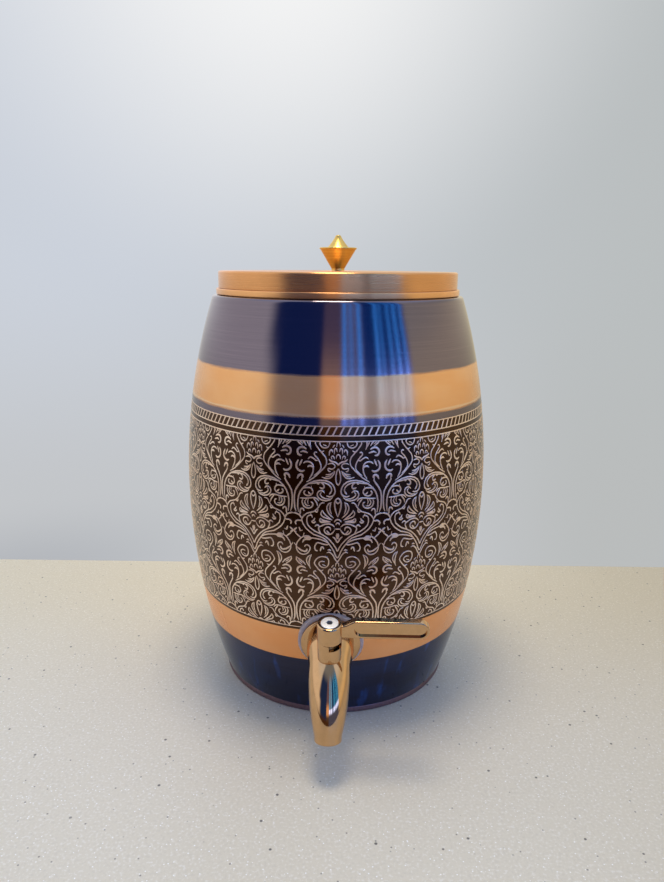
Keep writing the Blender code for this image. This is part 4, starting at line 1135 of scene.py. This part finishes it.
def lid_seat():
    return bead_top() + SEAT_GAP


def lid_mesh():
    seat = lid_seat()
    outer = NECK_RADIUS + SEAT_GAP + LID_SHEET
    inner = outer - LID_SHEET
    high = seat + LID_HEIGHT
    ceiling = high - LID_SHEET
    hole = KNOB_SCREW_RADIUS + SEAT_GAP
    outside = arc((outer - LID_ROUND, high - LID_ROUND), LID_ROUND, QUARTER, 0, ROUND_STEPS)
    centre = (inner - LID_INNER_ROUND, ceiling - LID_INNER_ROUND)
    inside = arc(centre, LID_INNER_ROUND, 0, QUARTER, ROUND_STEPS)
    profile = [(hole, high), *outside, (outer, seat), (inner, seat), *inside, (hole, ceiling)]
    return turned_mesh("lid", profile, WALL_SEGMENTS)


def knob_mesh():
    foot = lid_seat() + LID_HEIGHT + SEAT_GAP
    bore = KNOB_SCREW_RADIUS + SEAT_GAP
    low_edge = KNOB_RIM_HEIGHT - KNOB_RIM_EDGE
    high_edge = KNOB_RIM_HEIGHT + KNOB_RIM_EDGE
    rise = KNOB_HEIGHT - high_edge
    widening = KNOB_SPIRE_RADIUS - KNOB_TIP_RADIUS
    shares = evenly(0, 1, SPIRE_STEPS)
    spire = [(KNOB_TIP_RADIUS + widening * t**SPIRE_SWEEP, KNOB_HEIGHT - rise * t) for t in shares]
    tip = arc((0, KNOB_HEIGHT - KNOB_TIP_RADIUS), KNOB_TIP_RADIUS, QUARTER, 0, ROUND_STEPS)
    tip = [(r, KNOB_HEIGHT - (KNOB_HEIGHT - z) / TIP_FLATNESS) for r, z in tip]
    rim_start = KNOB_RIM_RADIUS - KNOB_RIM_EDGE
    rim = arc((rim_start, KNOB_RIM_HEIGHT), KNOB_RIM_EDGE, QUARTER, -QUARTER, ROUND_STEPS)
    profile = [
        (0, KNOB_HEIGHT),
        *tip[1:],
        *spire[1:],
        (rim_start, high_edge),
        *rim[1:],
        (rim_start, low_edge),
        (KNOB_NECK_RADIUS, KNOB_NECK_HEIGHT),
        (KNOB_NECK_RADIUS, 0),
        (bore, 0),
        (bore, KNOB_SCREW_REACH),
        (0, KNOB_SCREW_REACH),
    ]
    return moved(turned_mesh("knob", profile, KNOB_SEGMENTS), Matrix.Translation((0, 0, foot)))


# Tap


def tap_frame():
    """X right, -Y outwards along the tap's axis, Z up the stem, from where the axis meets the wall."""
    place = Matrix.Translation((0, -wall_radius(TAP_HEIGHT), TAP_HEIGHT))
    return place @ Matrix.Rotation(wall_lean(TAP_HEIGHT), 4, "X")


def stem_frame():
    return tap_frame() @ Matrix.Translation((0, -STEM_REACH, 0))


def flange_back():
    return GASKET_THICKNESS + 2 * SEAT_GAP


def elbow_start():
    return flange_back() + FLANGE_THICKNESS + COLLAR_LENGTH


def elbow_point(turn):
    """The elbow's centre line: reach outwards and height, after turning down by an angle."""
    return elbow_start() + ELBOW_BEND * math.sin(turn), ELBOW_BEND * (math.cos(turn) - 1)


def spout_end(run):
    reach, height = elbow_point(ELBOW_TURN)
    return reach + run * math.cos(ELBOW_TURN), height - run * math.sin(ELBOW_TURN)


def eased(t):
    return t * t * (3 - 2 * t)


def elbow_radius(turn):
    """A bell behind the housing, an even middle, then a taper that quickens towards the spout's end."""
    if turn < BELL_TURN:
        return BELL_RADIUS + (ELBOW_RADIUS - BELL_RADIUS) * eased(turn / BELL_TURN)
    share = (turn - BELL_TURN) / (ELBOW_TURN - BELL_TURN)
    return ELBOW_RADIUS + (SPOUT_END_RADIUS - ELBOW_RADIUS) * share * share


def body_stations():
    stations = [(-flange_back() - FLANGE_ROUND, 0.0, 0.0, BELL_RADIUS)]
    for turn in evenly(0, ELBOW_TURN, TAP_STEPS):
        reach, height = elbow_point(turn)
        stations.append((-reach, height, turn, elbow_radius(turn)))
    for angle in evenly(0, QUARTER, ARC_STEPS):
        run = SPOUT_LENGTH - SPOUT_LIP_ROUND * (1 - math.sin(angle))
        reach, height = spout_end(run)
        radius = SPOUT_END_RADIUS - SPOUT_LIP_ROUND * (1 - math.cos(angle))
        stations.append((-reach, height, ELBOW_TURN, radius))
    return stations


def bore_stations():
    """The water way from the ball down onto the elbow's centre line and out of the spout's end."""
    start_turn = math.asin((STEM_REACH + BALL_RADIUS - elbow_start()) / ELBOW_BEND)
    lift = -elbow_point(start_turn)[1]
    stations = [(-STEM_REACH, 0.0, 0.0, BALL_BORE_RADIUS)]
    for share in evenly(0, 1, TAP_STEPS):
        turn = start_turn + (ELBOW_TURN - start_turn) * share
        reach, height = elbow_point(turn)
        radius = BALL_BORE_RADIUS + (SPOUT_BORE_RADIUS - BALL_BORE_RADIUS) * eased(share)
        stations.append((-reach, height + lift * (1 - share) ** 2, turn, radius))
    reach, height = spout_end(SPOUT_LENGTH + OVERRUN)
    return stations + [(-reach, height, ELBOW_TURN, SPOUT_BORE_RADIUS)]


def well_radius():
    return HOUSING_RADIUS - HOUSING_WALL


def seat_back():
    return BALL_RADIUS + SEAT_GAP / 2


def tap_body_mesh():
    stem_place = Matrix.Translation((0, -STEM_REACH, 0))
    body = tube_mesh("tap_casting", body_stations(), TAP_SEGMENTS)
    back = flange_back()
    front = back + FLANGE_THICKNESS
    flange = disc_profile(FLANGE_RADIUS, back, front, FLANGE_ROUND, ARC_STEPS)
    flange = outward(turned_mesh("flange", flange, TAP_SEGMENTS))
    post = disc_profile(HOUSING_RADIUS, 0, HOUSING_TOP, HOUSING_EDGE, HOUSING_EDGE_STEPS)
    post = moved(turned_mesh("housing", post, TAP_SEGMENTS), stem_place)
    body = combined(body, "UNION", flange, post)
    shank_front = STEM_REACH - seat_back() - SEAT_GAP
    shank = disc_profile(SHANK_RADIUS + SEAT_GAP, -OVERRUN, shank_front + SEAT_GAP)
    chamber = disc_profile(SEAT_RING_RADIUS + SEAT_GAP, OVERRUN, STEM_REACH + seat_back() + SEAT_GAP)
    axial = [outward(turned_mesh("axial", section, TAP_SEGMENTS)) for section in (shank, chamber)]
    water = tube_mesh("water_way", bore_stations(), TAP_SEGMENTS // 2)
    well = [
        (0, HOUSING_TOP + OVERRUN),
        (well_radius(), HOUSING_TOP + OVERRUN),
        (well_radius(), HOUSING_FLOOR),
        (STEM_RADIUS + SEAT_GAP, HOUSING_FLOOR),
        (STEM_RADIUS + SEAT_GAP, 0),
        (0, 0),
    ]
    well = moved(turned_mesh("well", well, TAP_SEGMENTS), stem_place)
    radii = (well_radius() - SEAT_GAP, HOUSING_RADIUS + OVERRUN)
    heights = (HOUSING_TOP - NOTCH_DEPTH, HOUSING_TOP + OVERRUN)
    notch = sector_mesh("notch", radii, (NOTCH_START, NOTCH_END), heights, TAP_STEPS)
    notch = moved(notch, stem_place)
    body = combined(body, "DIFFERENCE", *axial, water, well, notch)
    return moved(body, tap_frame())


def gasket_mesh():
    """The gasket's back follows the wall."""
    hole = SHANK_RADIUS + SEAT_GAP
    front = flange_back() - SEAT_GAP
    corner = (GASKET_RADIUS - GASKET_ROUND, front - GASKET_ROUND)
    rim = arc(corner, GASKET_ROUND, QUARTER, 0, ARC_STEPS)
    profile = [(hole, front), *rim, (GASKET_RADIUS, -GASKET_DEPTH), (hole, -GASKET_DEPTH)]
    ring = moved(outward(turned_mesh("gasket", profile, TAP_SEGMENTS)), tap_frame())
    heights = spread(SHOULDER_HEIGHT - SHOULDER_ROUND, RIM_HEIGHT, WALL_STEP)
    form = [(wall_radius(z) + GASKET_GAP, z) for z in heights]
    form = turned_mesh("wall_form", [(0, heights[0]), *form, (0, heights[-1])], WALL_SEGMENTS)
    return combined(ring, "DIFFERENCE", form)


# Lever, in the stem frame: X along the lever at rest


def hub_foot():
    return HOUSING_TOP + SEAT_GAP


def hub_top():
    return hub_foot() + HUB_HEIGHT


def lever_outline():
    """The arm seen from the front: a low neck that sweeps up into a round-ended blade."""
    low = hub_foot() + BLADE_LIFT
    high = low + BLADE_HEIGHT
    half = BLADE_HEIGHT / 2
    neck_high = low + LEVER_NECK_HEIGHT
    outline = [(0, low), (0, neck_high), (LEVER_NECK_LENGTH, neck_high)]
    for t in evenly(0, 1, TAP_STEPS // 2)[1:]:
        height = neck_high + (high - neck_high) * eased(t)
        outline.append((LEVER_NECK_LENGTH + LEVER_RISE_LENGTH * t, height))
    outline += arc((LEVER_LENGTH - half, low + half), half, QUARTER, -QUARTER, TAP_STEPS)
    return outline


def recess_outline():
    low = hub_foot() + BLADE_LIFT + RECESS_RIM
    half = BLADE_HEIGHT / 2 - RECESS_RIM
    end = arc((LEVER_LENGTH - BLADE_HEIGHT / 2, low + half), half, QUARTER, -QUARTER, TAP_STEPS // 2)
    start = arc((RECESS_START + half, low + half), half, -QUARTER, -3 * QUARTER, TAP_STEPS // 2)
    return end + start


def lever_mesh():
    hub = disc_profile(HUB_RADIUS, hub_foot(), hub_top(), HUB_ROUND, ARC_STEPS)
    lever = turned_mesh("lever_casting", hub, TAP_SEGMENTS)
    half = BLADE_THICKNESS / 2
    arm = softened(slab_mesh("arm", lever_outline(), -half, half), BLADE_ROUND, BLADE_STEPS)
    lever = combined(lever, "UNION", arm)
    recess = slab_mesh("recess", recess_outline(), -half - OVERRUN, -half + RECESS_DEPTH)
    radii = (well_radius() + SEAT_GAP, HUB_RADIUS)
    heights = (HOUSING_TOP - LUG_DEPTH, hub_foot() + HUB_ROUND)
    lug = sector_mesh("lug", radii, (LUG_START, LUG_END), heights, ARC_STEPS)
    lever = combined(combined(lever, "DIFFERENCE", recess), "UNION", lug)
    well = disc_profile(COUNTERBORE_RADIUS, hub_top() - COUNTERBORE_DEPTH, hub_top() + OVERRUN)
    through = disc_profile(SCREW_RADIUS + SEAT_GAP, hub_foot(), hub_top())
    holes = [turned_mesh("hole", section, TAP_SEGMENTS) for section in (well, through)]
    lever = combined(lever, "DIFFERENCE", *holes, stem_socket())
    return moved(lever, stem_frame())


def stem_socket():
    """The hub's socket for the stem: round, with two flats."""
    section = disc_profile(STEM_RADIUS + SEAT_GAP, hub_foot() - OVERRUN, hub_foot() + SOCKET_DEPTH)
    socket = turned_mesh("socket", section, TAP_SEGMENTS // 2)
    reach = STEM_RADIUS + OVERRUN
    face = STEM_FLATS / 2 + SEAT_GAP
    low = (-reach, -face, hub_foot() - 2 * OVERRUN)
    high = (reach, face, hub_foot() + SOCKET_DEPTH + OVERRUN)
    return combined(socket, "INTERSECT", box_mesh("flats", low, high))


def screw_head_low():
    return hub_top() - COUNTERBORE_DEPTH + LEVER_WASHER_THICKNESS + 2 * SEAT_GAP


def key_corner():
    return HEX_KEY / 2 / math.cos(math.pi / HEX_SIDES)


def socket_shade_mesh():
    """A thin dark sheet on the floor of the screw's socket: painted shade of the deep socket."""
    low = screw_head_low() + SCREW_HEAD_HEIGHT - HEX_DEPTH
    section = disc_profile(key_corner(), low, low + SHADE_SHEET)
    return moved(turned_mesh("socket_shade", section, HEX_SIDES), stem_frame())


def screw_mesh():
    head_low = screw_head_low()
    head_top = head_low + SCREW_HEAD_HEIGHT
    corner = (SCREW_HEAD_RADIUS - SCREW_EDGE, head_top - SCREW_EDGE)
    profile = [
        (0, head_top),
        *arc(corner, SCREW_EDGE, QUARTER, 0, ARC_STEPS),
        (SCREW_HEAD_RADIUS, head_low),
        (SCREW_RADIUS, head_low),
        (SCREW_RADIUS, head_low - SCREW_LENGTH),
        (0, head_low - SCREW_LENGTH),
    ]
    key = disc_profile(key_corner(), head_top - HEX_DEPTH, head_top + OVERRUN)
    key = turned_mesh("key", key, HEX_SIDES)
    screw = combined(turned_mesh("screw", profile, TAP_SEGMENTS), "DIFFERENCE", key)
    return moved(screw, stem_frame())


# Ornament


def turn_of(across):
    """The angle round the axis, from the tap towards +X, of a distance in units round the wall."""
    column = across / TILE_WIDTH
    past = max(0.0, abs(column) - FRONT_COLUMNS) / (COLUMNS / 2 - FRONT_COLUMNS)
    turn = COLUMN_TURN * column + math.copysign(BACK_SPREAD * past * past, column)
    return math.radians(turn + COLUMN_SHIFT)


def wall_point(turn, height, proud):
    """A point above the ornament's ground, which lies RELIEF under the wall's surface."""
    radius = wall_radius(height) - RELIEF + proud
    return Vector((radius * math.sin(turn), -radius * math.cos(turn), height))


def curve_through(points):
    """A smooth line through points, with a point at least every MOST_BEND of its turning."""
    points = [Vector(point) for point in points]
    if len(points) < 3:
        return points
    ends = [2 * points[0] - points[1]] + points + [2 * points[-1] - points[-2]]
    line = [points[0]]
    for before, start, end, after in zip(ends, ends[1:], ends[2:], ends[3:]):
        chord = end - start
        bend = (start - before).angle(chord, 0.0) + chord.angle(after - end, 0.0)
        count = max(1, math.ceil(bend / 2 / MOST_BEND))
        for i in range(1, count + 1):
            t = i / count
            a = 2 * start + t * (end - before)
            b = t * t * (2 * before - 5 * start + 4 * end - after)
            c = t * t * t * (3 * start - before - 3 * end + after)
            line.append((a + b + c) / 2)
    return line


def clipped(line):
    """The parts of a line between the ornament's lower and upper borders."""
    inside = [ORNAMENT_LOW <= point.y <= ORNAMENT_HIGH for point in line]
    parts = []
    current = []
    for i, point in enumerate(line):
        if i and inside[i] != inside[i - 1]:
            limit = ORNAMENT_LOW if min(point.y, line[i - 1].y) < ORNAMENT_LOW else ORNAMENT_HIGH
            share = (limit - line[i - 1].y) / (point.y - line[i - 1].y)
            current.append(line[i - 1].lerp(point, share))
        if inside[i]:
            current.append(point)
        elif current:
            parts.append(current)
            current = []
    return [part for part in parts + [current] if len(part) > 1]


def add_ridge(bm, place, sections, loop=False):
    """Skins a low ridge over (middle, side) pairs, low at each side and RELIEF proud in the middle."""
    rows = []
    for middle, side in sections:
        corners = ((middle - side, 0.0), (middle, RELIEF), (middle + side, 0.0))
        rows.append([bm.verts.new(place(at.x, at.y, proud)) for at, proud in corners])
    for first, second in zip(rows, rows[1:] + rows[:1] if loop else rows[1:]):
        for i in range(2):
            bm.faces.new((first[i], first[i + 1], second[i + 1], second[i]))


def ribbon_sections(line, width):
    """The ridge along a line, narrowed at its ends."""
    sections = []
    for i, point in enumerate(line):
        ahead = line[min(i + 1, len(line) - 1)] - line[max(i - 1, 0)]
        side = Vector((-ahead.y, ahead.x)).normalized() * width / 2
        if i in (0, len(line) - 1):
            side *= RIBBON_END
        sections.append((point, side))
    return sections


def tile_lines():
    """Every stroke of one tile as (width, line), the mirrored ones included."""
    lines = []
    for width, *points in AXIS_STROKES:
        mirrored = [(-x, y) for x, y in points[:0:-1]]
        lines.append((width, curve_through(mirrored + points)))
    for width, *points in SIDE_STROKES:
        line = curve_through(points)
        lines.append((width, line))
        lines.append((width, [Vector((-point.x, point.y)) for point in line]))
    return lines


def ornament_point(across, rise, proud):
    return wall_point(turn_of(across), FAN_HEIGHT + rise * UNIT_RISE, proud)


def ornament_mesh():
    bm = bmesh.new()
    lines = tile_lines()
    for column in range(COLUMNS):
        for row in ROWS:
            shift = Vector(((column - COLUMNS // 2) * TILE_WIDTH, row * TILE_HEIGHT))
            for width, line in lines:
                for part in clipped([point + shift for point in line]):
                    add_ridge(bm, ornament_point, ribbon_sections(part, width))
    return mesh_from("ornament", bm)


def borders_mesh():
    """Fine raised lines round the wall, and the slanted strands between the upper two."""
    bm = bmesh.new()
    side = Vector((0, -BORDER_WIDTH / 2))
    for height in BORDER_HEIGHTS:
        middles = [Vector((turn, height)) for turn in round_turns(WALL_SEGMENTS)]
        add_ridge(bm, wall_point, [(middle, side) for middle in middles], loop=True)
    low, high = BORDER_HEIGHTS[-2:]
    strand = Vector((ROPE_SLANT / wall_radius(low), high - low))
    side = Vector((ROPE_WIDTH / wall_radius(low) / 2, 0))
    for turn in round_turns(ROPE_STRANDS):
        foot = Vector((turn, low))
        add_ridge(bm, wall_point, [(foot + strand * share, side) for share in evenly(0, 1, 2)])
    return mesh_from("borders", bm)


# Stage, world and camera


def build_floor():
    """A pale counter. The camera doesn't see it behind the wall line, nor gloss before its front."""
    half = FLOOR_SIZE / 2
    outline = [(-half, -half), (half, -half), (half, half), (-half, half)]
    bm = bmesh.new()
    bm.faces.new([bm.verts.new((x, y, -FLOOR_DROP)) for x, y in outline])
    look = speckled_stone()
    place = look.place()
    path = look.node("ShaderNodeLightPath").outputs
    wall = look.sum("MULTIPLY_ADD", place["X"], WALL_LINE[1], WALL_LINE[0])
    edge = look.sum("MULTIPLY_ADD", place["X"], COUNTER_FRONT[1], COUNTER_FRONT[0])
    behind = look.sum("MULTIPLY", look.sum("GREATER_THAN", place["Y"], wall), path["Is Camera Ray"])
    ahead = look.sum("MULTIPLY", look.sum("LESS_THAN", place["Y"], edge), path["Is Glossy Ray"])
    clear = look.node("ShaderNodeBsdfTransparent").outputs[0]
    shown = look.node("ShaderNodeMixShader", look.sum("MAXIMUM", behind, ahead))
    look.put(shown.inputs[1], look.shader.outputs[0])
    look.put(shown.inputs[2], clear)
    look.put(look.tree.nodes["Material Output"].inputs[0], shown.outputs[0])
    mesh = solid_mesh("counter", bm)
    mesh.materials.append(look.owner)
    floor = bpy.data.objects.new("counter", mesh)
    bpy.context.scene.collection.objects.link(floor)


def pane_light(look, azimuth, rise):
    """Tall bluish panes and the gap between them, paler above a level, over a dim ground."""
    upward = look.step(rise, *PANE_RISE)
    light = look.mix(upward, *RIGHT_TONES)
    for span, tones in ((NEAR_PANES, NEAR_TONES), (GAP, GAP_TONES)):
        share = look.window(azimuth, *span, FRAME_BLUR)
        light = look.mix(share, light, look.mix(upward, *tones))
    pane_tone = look.mix(upward, *PANE_TONES)
    for middle, half, strength in PANES:
        pane = look.window(azimuth, middle - half, middle + half, PANE_BLUR)
        light = look.mix(look.sum("MULTIPLY", pane, strength), light, pane_tone)
    light = look.mix(look.fall(rise, *PANE_FOOT), light, UNDER_RIGHT)
    return look.mix(look.fall(rise, *RIGHT_GROUND), light, UNDER_LEFT)


def front_light(look, azimuth, rise):
    """The dim side of the room: dark on the left, panes on the right, a warm patch between."""
    left = look.mix(look.fall(rise, *LEFT_FOOT), LEFT_TONE, UNDER_LEFT)
    dim = look.mix(look.step(azimuth, *DIM_MIDDLE), left, pane_light(look, azimuth, rise))
    figure = FIGURE_TONES[0]
    for span, tone in zip(FIGURE_RISES, FIGURE_TONES[1:]):
        figure = look.mix(look.step(rise, *span), figure, tone)
    figure = look.mix(look.fall(rise, *FIGURE_FOOT), figure, UNDER_LEFT)
    dim = look.mix(look.window(azimuth, *FIGURE, FIGURE_BLUR), dim, figure)
    return look.mix(look.step(rise, *CEILING_RISE), dim, FAR_CEILING)


def backdrop_light(look, direction, across, rise):
    """The pale wall behind the object, with a soft glow high on it and a shaded lower corner."""
    shown = look.mix(look.step(across, *BACKDROP_SPAN), *BACKDROP)
    low = look.mix(look.step(across, *LOW_BACKDROP_SPAN), *LOW_BACKDROP)
    shown = look.mix(look.fall(rise, *LOW_BACKDROP_RISE), shown, low)
    corner = look.step(across, *SHADE_SPAN, SHADE_SHARE, 0.0)
    corner = look.sum("MULTIPLY", corner, look.fall(rise, *SHADE_RISE))
    shown = look.mix(corner, shown, BACKDROP_SHADE)
    glow = look.node("ShaderNodeVectorMath", direction, GLOW_PLACE, operation="DISTANCE")
    glow = look.fall(glow.outputs["Value"], 0.0, GLOW_REACH)
    return look.mix(glow, shown, GLOW_TONE)


def wall_light(look, azimuth, rise):
    """Pale walls and ceiling, warmer on the right and cooler above."""
    wall = look.mix(look.step(rise, *WALL_RISE), *WALL_TONES)
    right = look.step(azimuth, *RIGHT_SPAN)
    wall = look.mix(right, wall, RIGHT_WALL, "MULTIPLY")
    high = look.sum("MULTIPLY", right, look.step(rise, *HIGH_RISE))
    wall = look.mix(high, wall, HIGH_RIGHT_WALL, "MULTIPLY")
    return look.mix(look.step(rise, *SKY_RISE), wall, SKY_TONE)


def dim_share(look, azimuth, rise):
    """1 on the dim side, 0 on the walls. The edges differ under, at and above the horizon."""
    horizon = look.step(rise, *HORIZON)
    under, level, above = [look.step(azimuth, *edge) for edge in DIM_LEFT]
    left = look.blend(horizon, under, level)
    left = look.blend(look.step(rise, *DIM_LEFT_RISE), left, above)
    under, above = [look.fall(azimuth, *edge) for edge in DIM_RIGHT]
    return look.sum("MULTIPLY", left, look.blend(horizon, under, above))


def build_world():
    """Soft room light by direction: pale walls round a dim side behind the camera."""
    world = bpy.data.worlds.new("room")
    bpy.context.scene.world = world
    look = Look(world)
    direction = look.node("ShaderNodeTexCoord").outputs["Generated"]
    parts = look.node("ShaderNodeSeparateXYZ", direction).outputs
    away = look.sum("MULTIPLY", parts["Y"], -1.0)
    azimuth = look.sum("MULTIPLY", look.sum("ARCTAN2", parts["X"], away), math.degrees(1))
    rise = parts["Z"]
    wall = wall_light(look, azimuth, rise)
    lit = look.mix(dim_share(look, azimuth, rise), wall, front_light(look, azimuth, rise))
    shown = backdrop_light(look, direction, parts["X"], rise)
    camera = look.node("ShaderNodeLightPath").outputs["Is Camera Ray"]
    background = look.tree.nodes["Background"]
    look.put(background.inputs["Color"], look.mix(camera, lit, shown))


def build_lamp():
    """One soft warm lamp on the ceiling, almost straight above the object."""
    lamp = bpy.data.lights.new("soft_lamp", "AREA")
    lamp.shape = "DISK"
    lamp.size = LAMP_SIZE
    lamp.energy = LAMP_POWER
    lamp.color = LAMP_COLOUR
    obj = bpy.data.objects.new("soft_lamp", lamp)
    bpy.context.scene.collection.objects.link(obj)
    obj.location = LAMP_PLACE
    aim = -obj.location
    obj.rotation_euler = aim.to_track_quat("-Z", "Y").to_euler()


def build_camera():
    camera = bpy.data.cameras.new("camera")
    camera.sensor_fit = "HORIZONTAL"
    camera.sensor_width = SENSOR_WIDTH
    camera.lens = CAMERA_LENS
    camera.clip_start = CAMERA_NEAR
    heading = Vector((-math.sin(CAMERA_HEADING), math.cos(CAMERA_HEADING), 0))
    right = Vector((heading.y, -heading.x, 0))
    forward = heading * math.cos(CAMERA_DIP) - Vector((0, 0, math.sin(CAMERA_DIP)))
    up = right.cross(forward)
    right = right * math.cos(CAMERA_ROLL) + up * math.sin(CAMERA_ROLL)
    up = right.cross(forward)
    turn = Matrix((right, up, -forward)).transposed().to_4x4()
    obj = bpy.data.objects.new("camera", camera)
    bpy.context.scene.collection.objects.link(obj)
    obj.matrix_world = Matrix.Translation(CAMERA_PLACE) @ turn
    bpy.context.scene.camera = obj


# Assembly


def dress_nodes(nodes):
    """Materials for the CAD nodes that stay."""
    for name, kept in KEPT_NODES.items():
        material = plain_metal(name) if name in METALS else moulded(name)
        for node in kept:
            slots = nodes[node].data.materials
            slots.clear()
            slots.append(material)


def build_vessel():
    wall = barrel_finish()
    add_piece("barrel_wall", wall_mesh(), wall, "vessel", "barrel_shell", slot="copper_and_lacquer")
    line = etched_line()
    add_piece("damask", ornament_mesh(), line, "vessel", slot="copper", sharp=QUARTER)
    add_piece("borders", borders_mesh(), line, "vessel", slot="copper", sharp=QUARTER)
    # The foot rim's dark purplish copper is painted shade and painted reflection of the shaded floor
    add_piece("foot_rim", foot_mesh(), plain_metal("shaded_foot_copper"), "vessel", "base_pan", slot="copper")
    rim = spun_copper("rim_copper", *RIM_COPPER)
    add_piece("mouth_bead", mouth_mesh(), rim, "vessel", "mouth_ring", slot="copper")


def build_lid():
    copper = spun_copper("lid_copper", *LID_COPPER)
    add_piece("lid_cap", lid_mesh(), copper, "lid", "lid_shell", slot="copper")
    add_piece("lid_finial", knob_mesh(), turned_brass(), "lid", "lid_knob", slot="knob_brass")


def build_tap():
    rose = plating()
    add_piece("tap_casting", tap_body_mesh(), rose, "vessel", "tap_body", slot="tap_plating")
    add_piece("lever_casting", lever_mesh(), rose, "lever_set", "lever", slot="tap_plating")
    steel = plain_metal("pale_steel")
    add_piece("hub_screw", screw_mesh(), steel, "lever_set", "lever_screw", slot="pale_steel")
    # A dark sheet on the socket's floor: painted shade
    socket_shade = moulded("painted_socket_shade")
    add_piece("painted_socket_shade", socket_shade_mesh(), socket_shade, "lever_set", slot="black_rubber")
    # The gasket's pinkish tone is a painted view of the copper behind it
    silicone = moulded("clear_silicone")
    add_piece("wall_gasket", gasket_mesh(), silicone, "vessel", "gasket_outer", slot="silicone")


def main():
    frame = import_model()
    dress_nodes(frame["nodes"])
    build_vessel()
    build_lid()
    build_tap()
    build_floor()
    build_world()
    build_lamp()
    build_camera()
    bpy.context.scene.view_settings.view_transform = "Standard"


main()
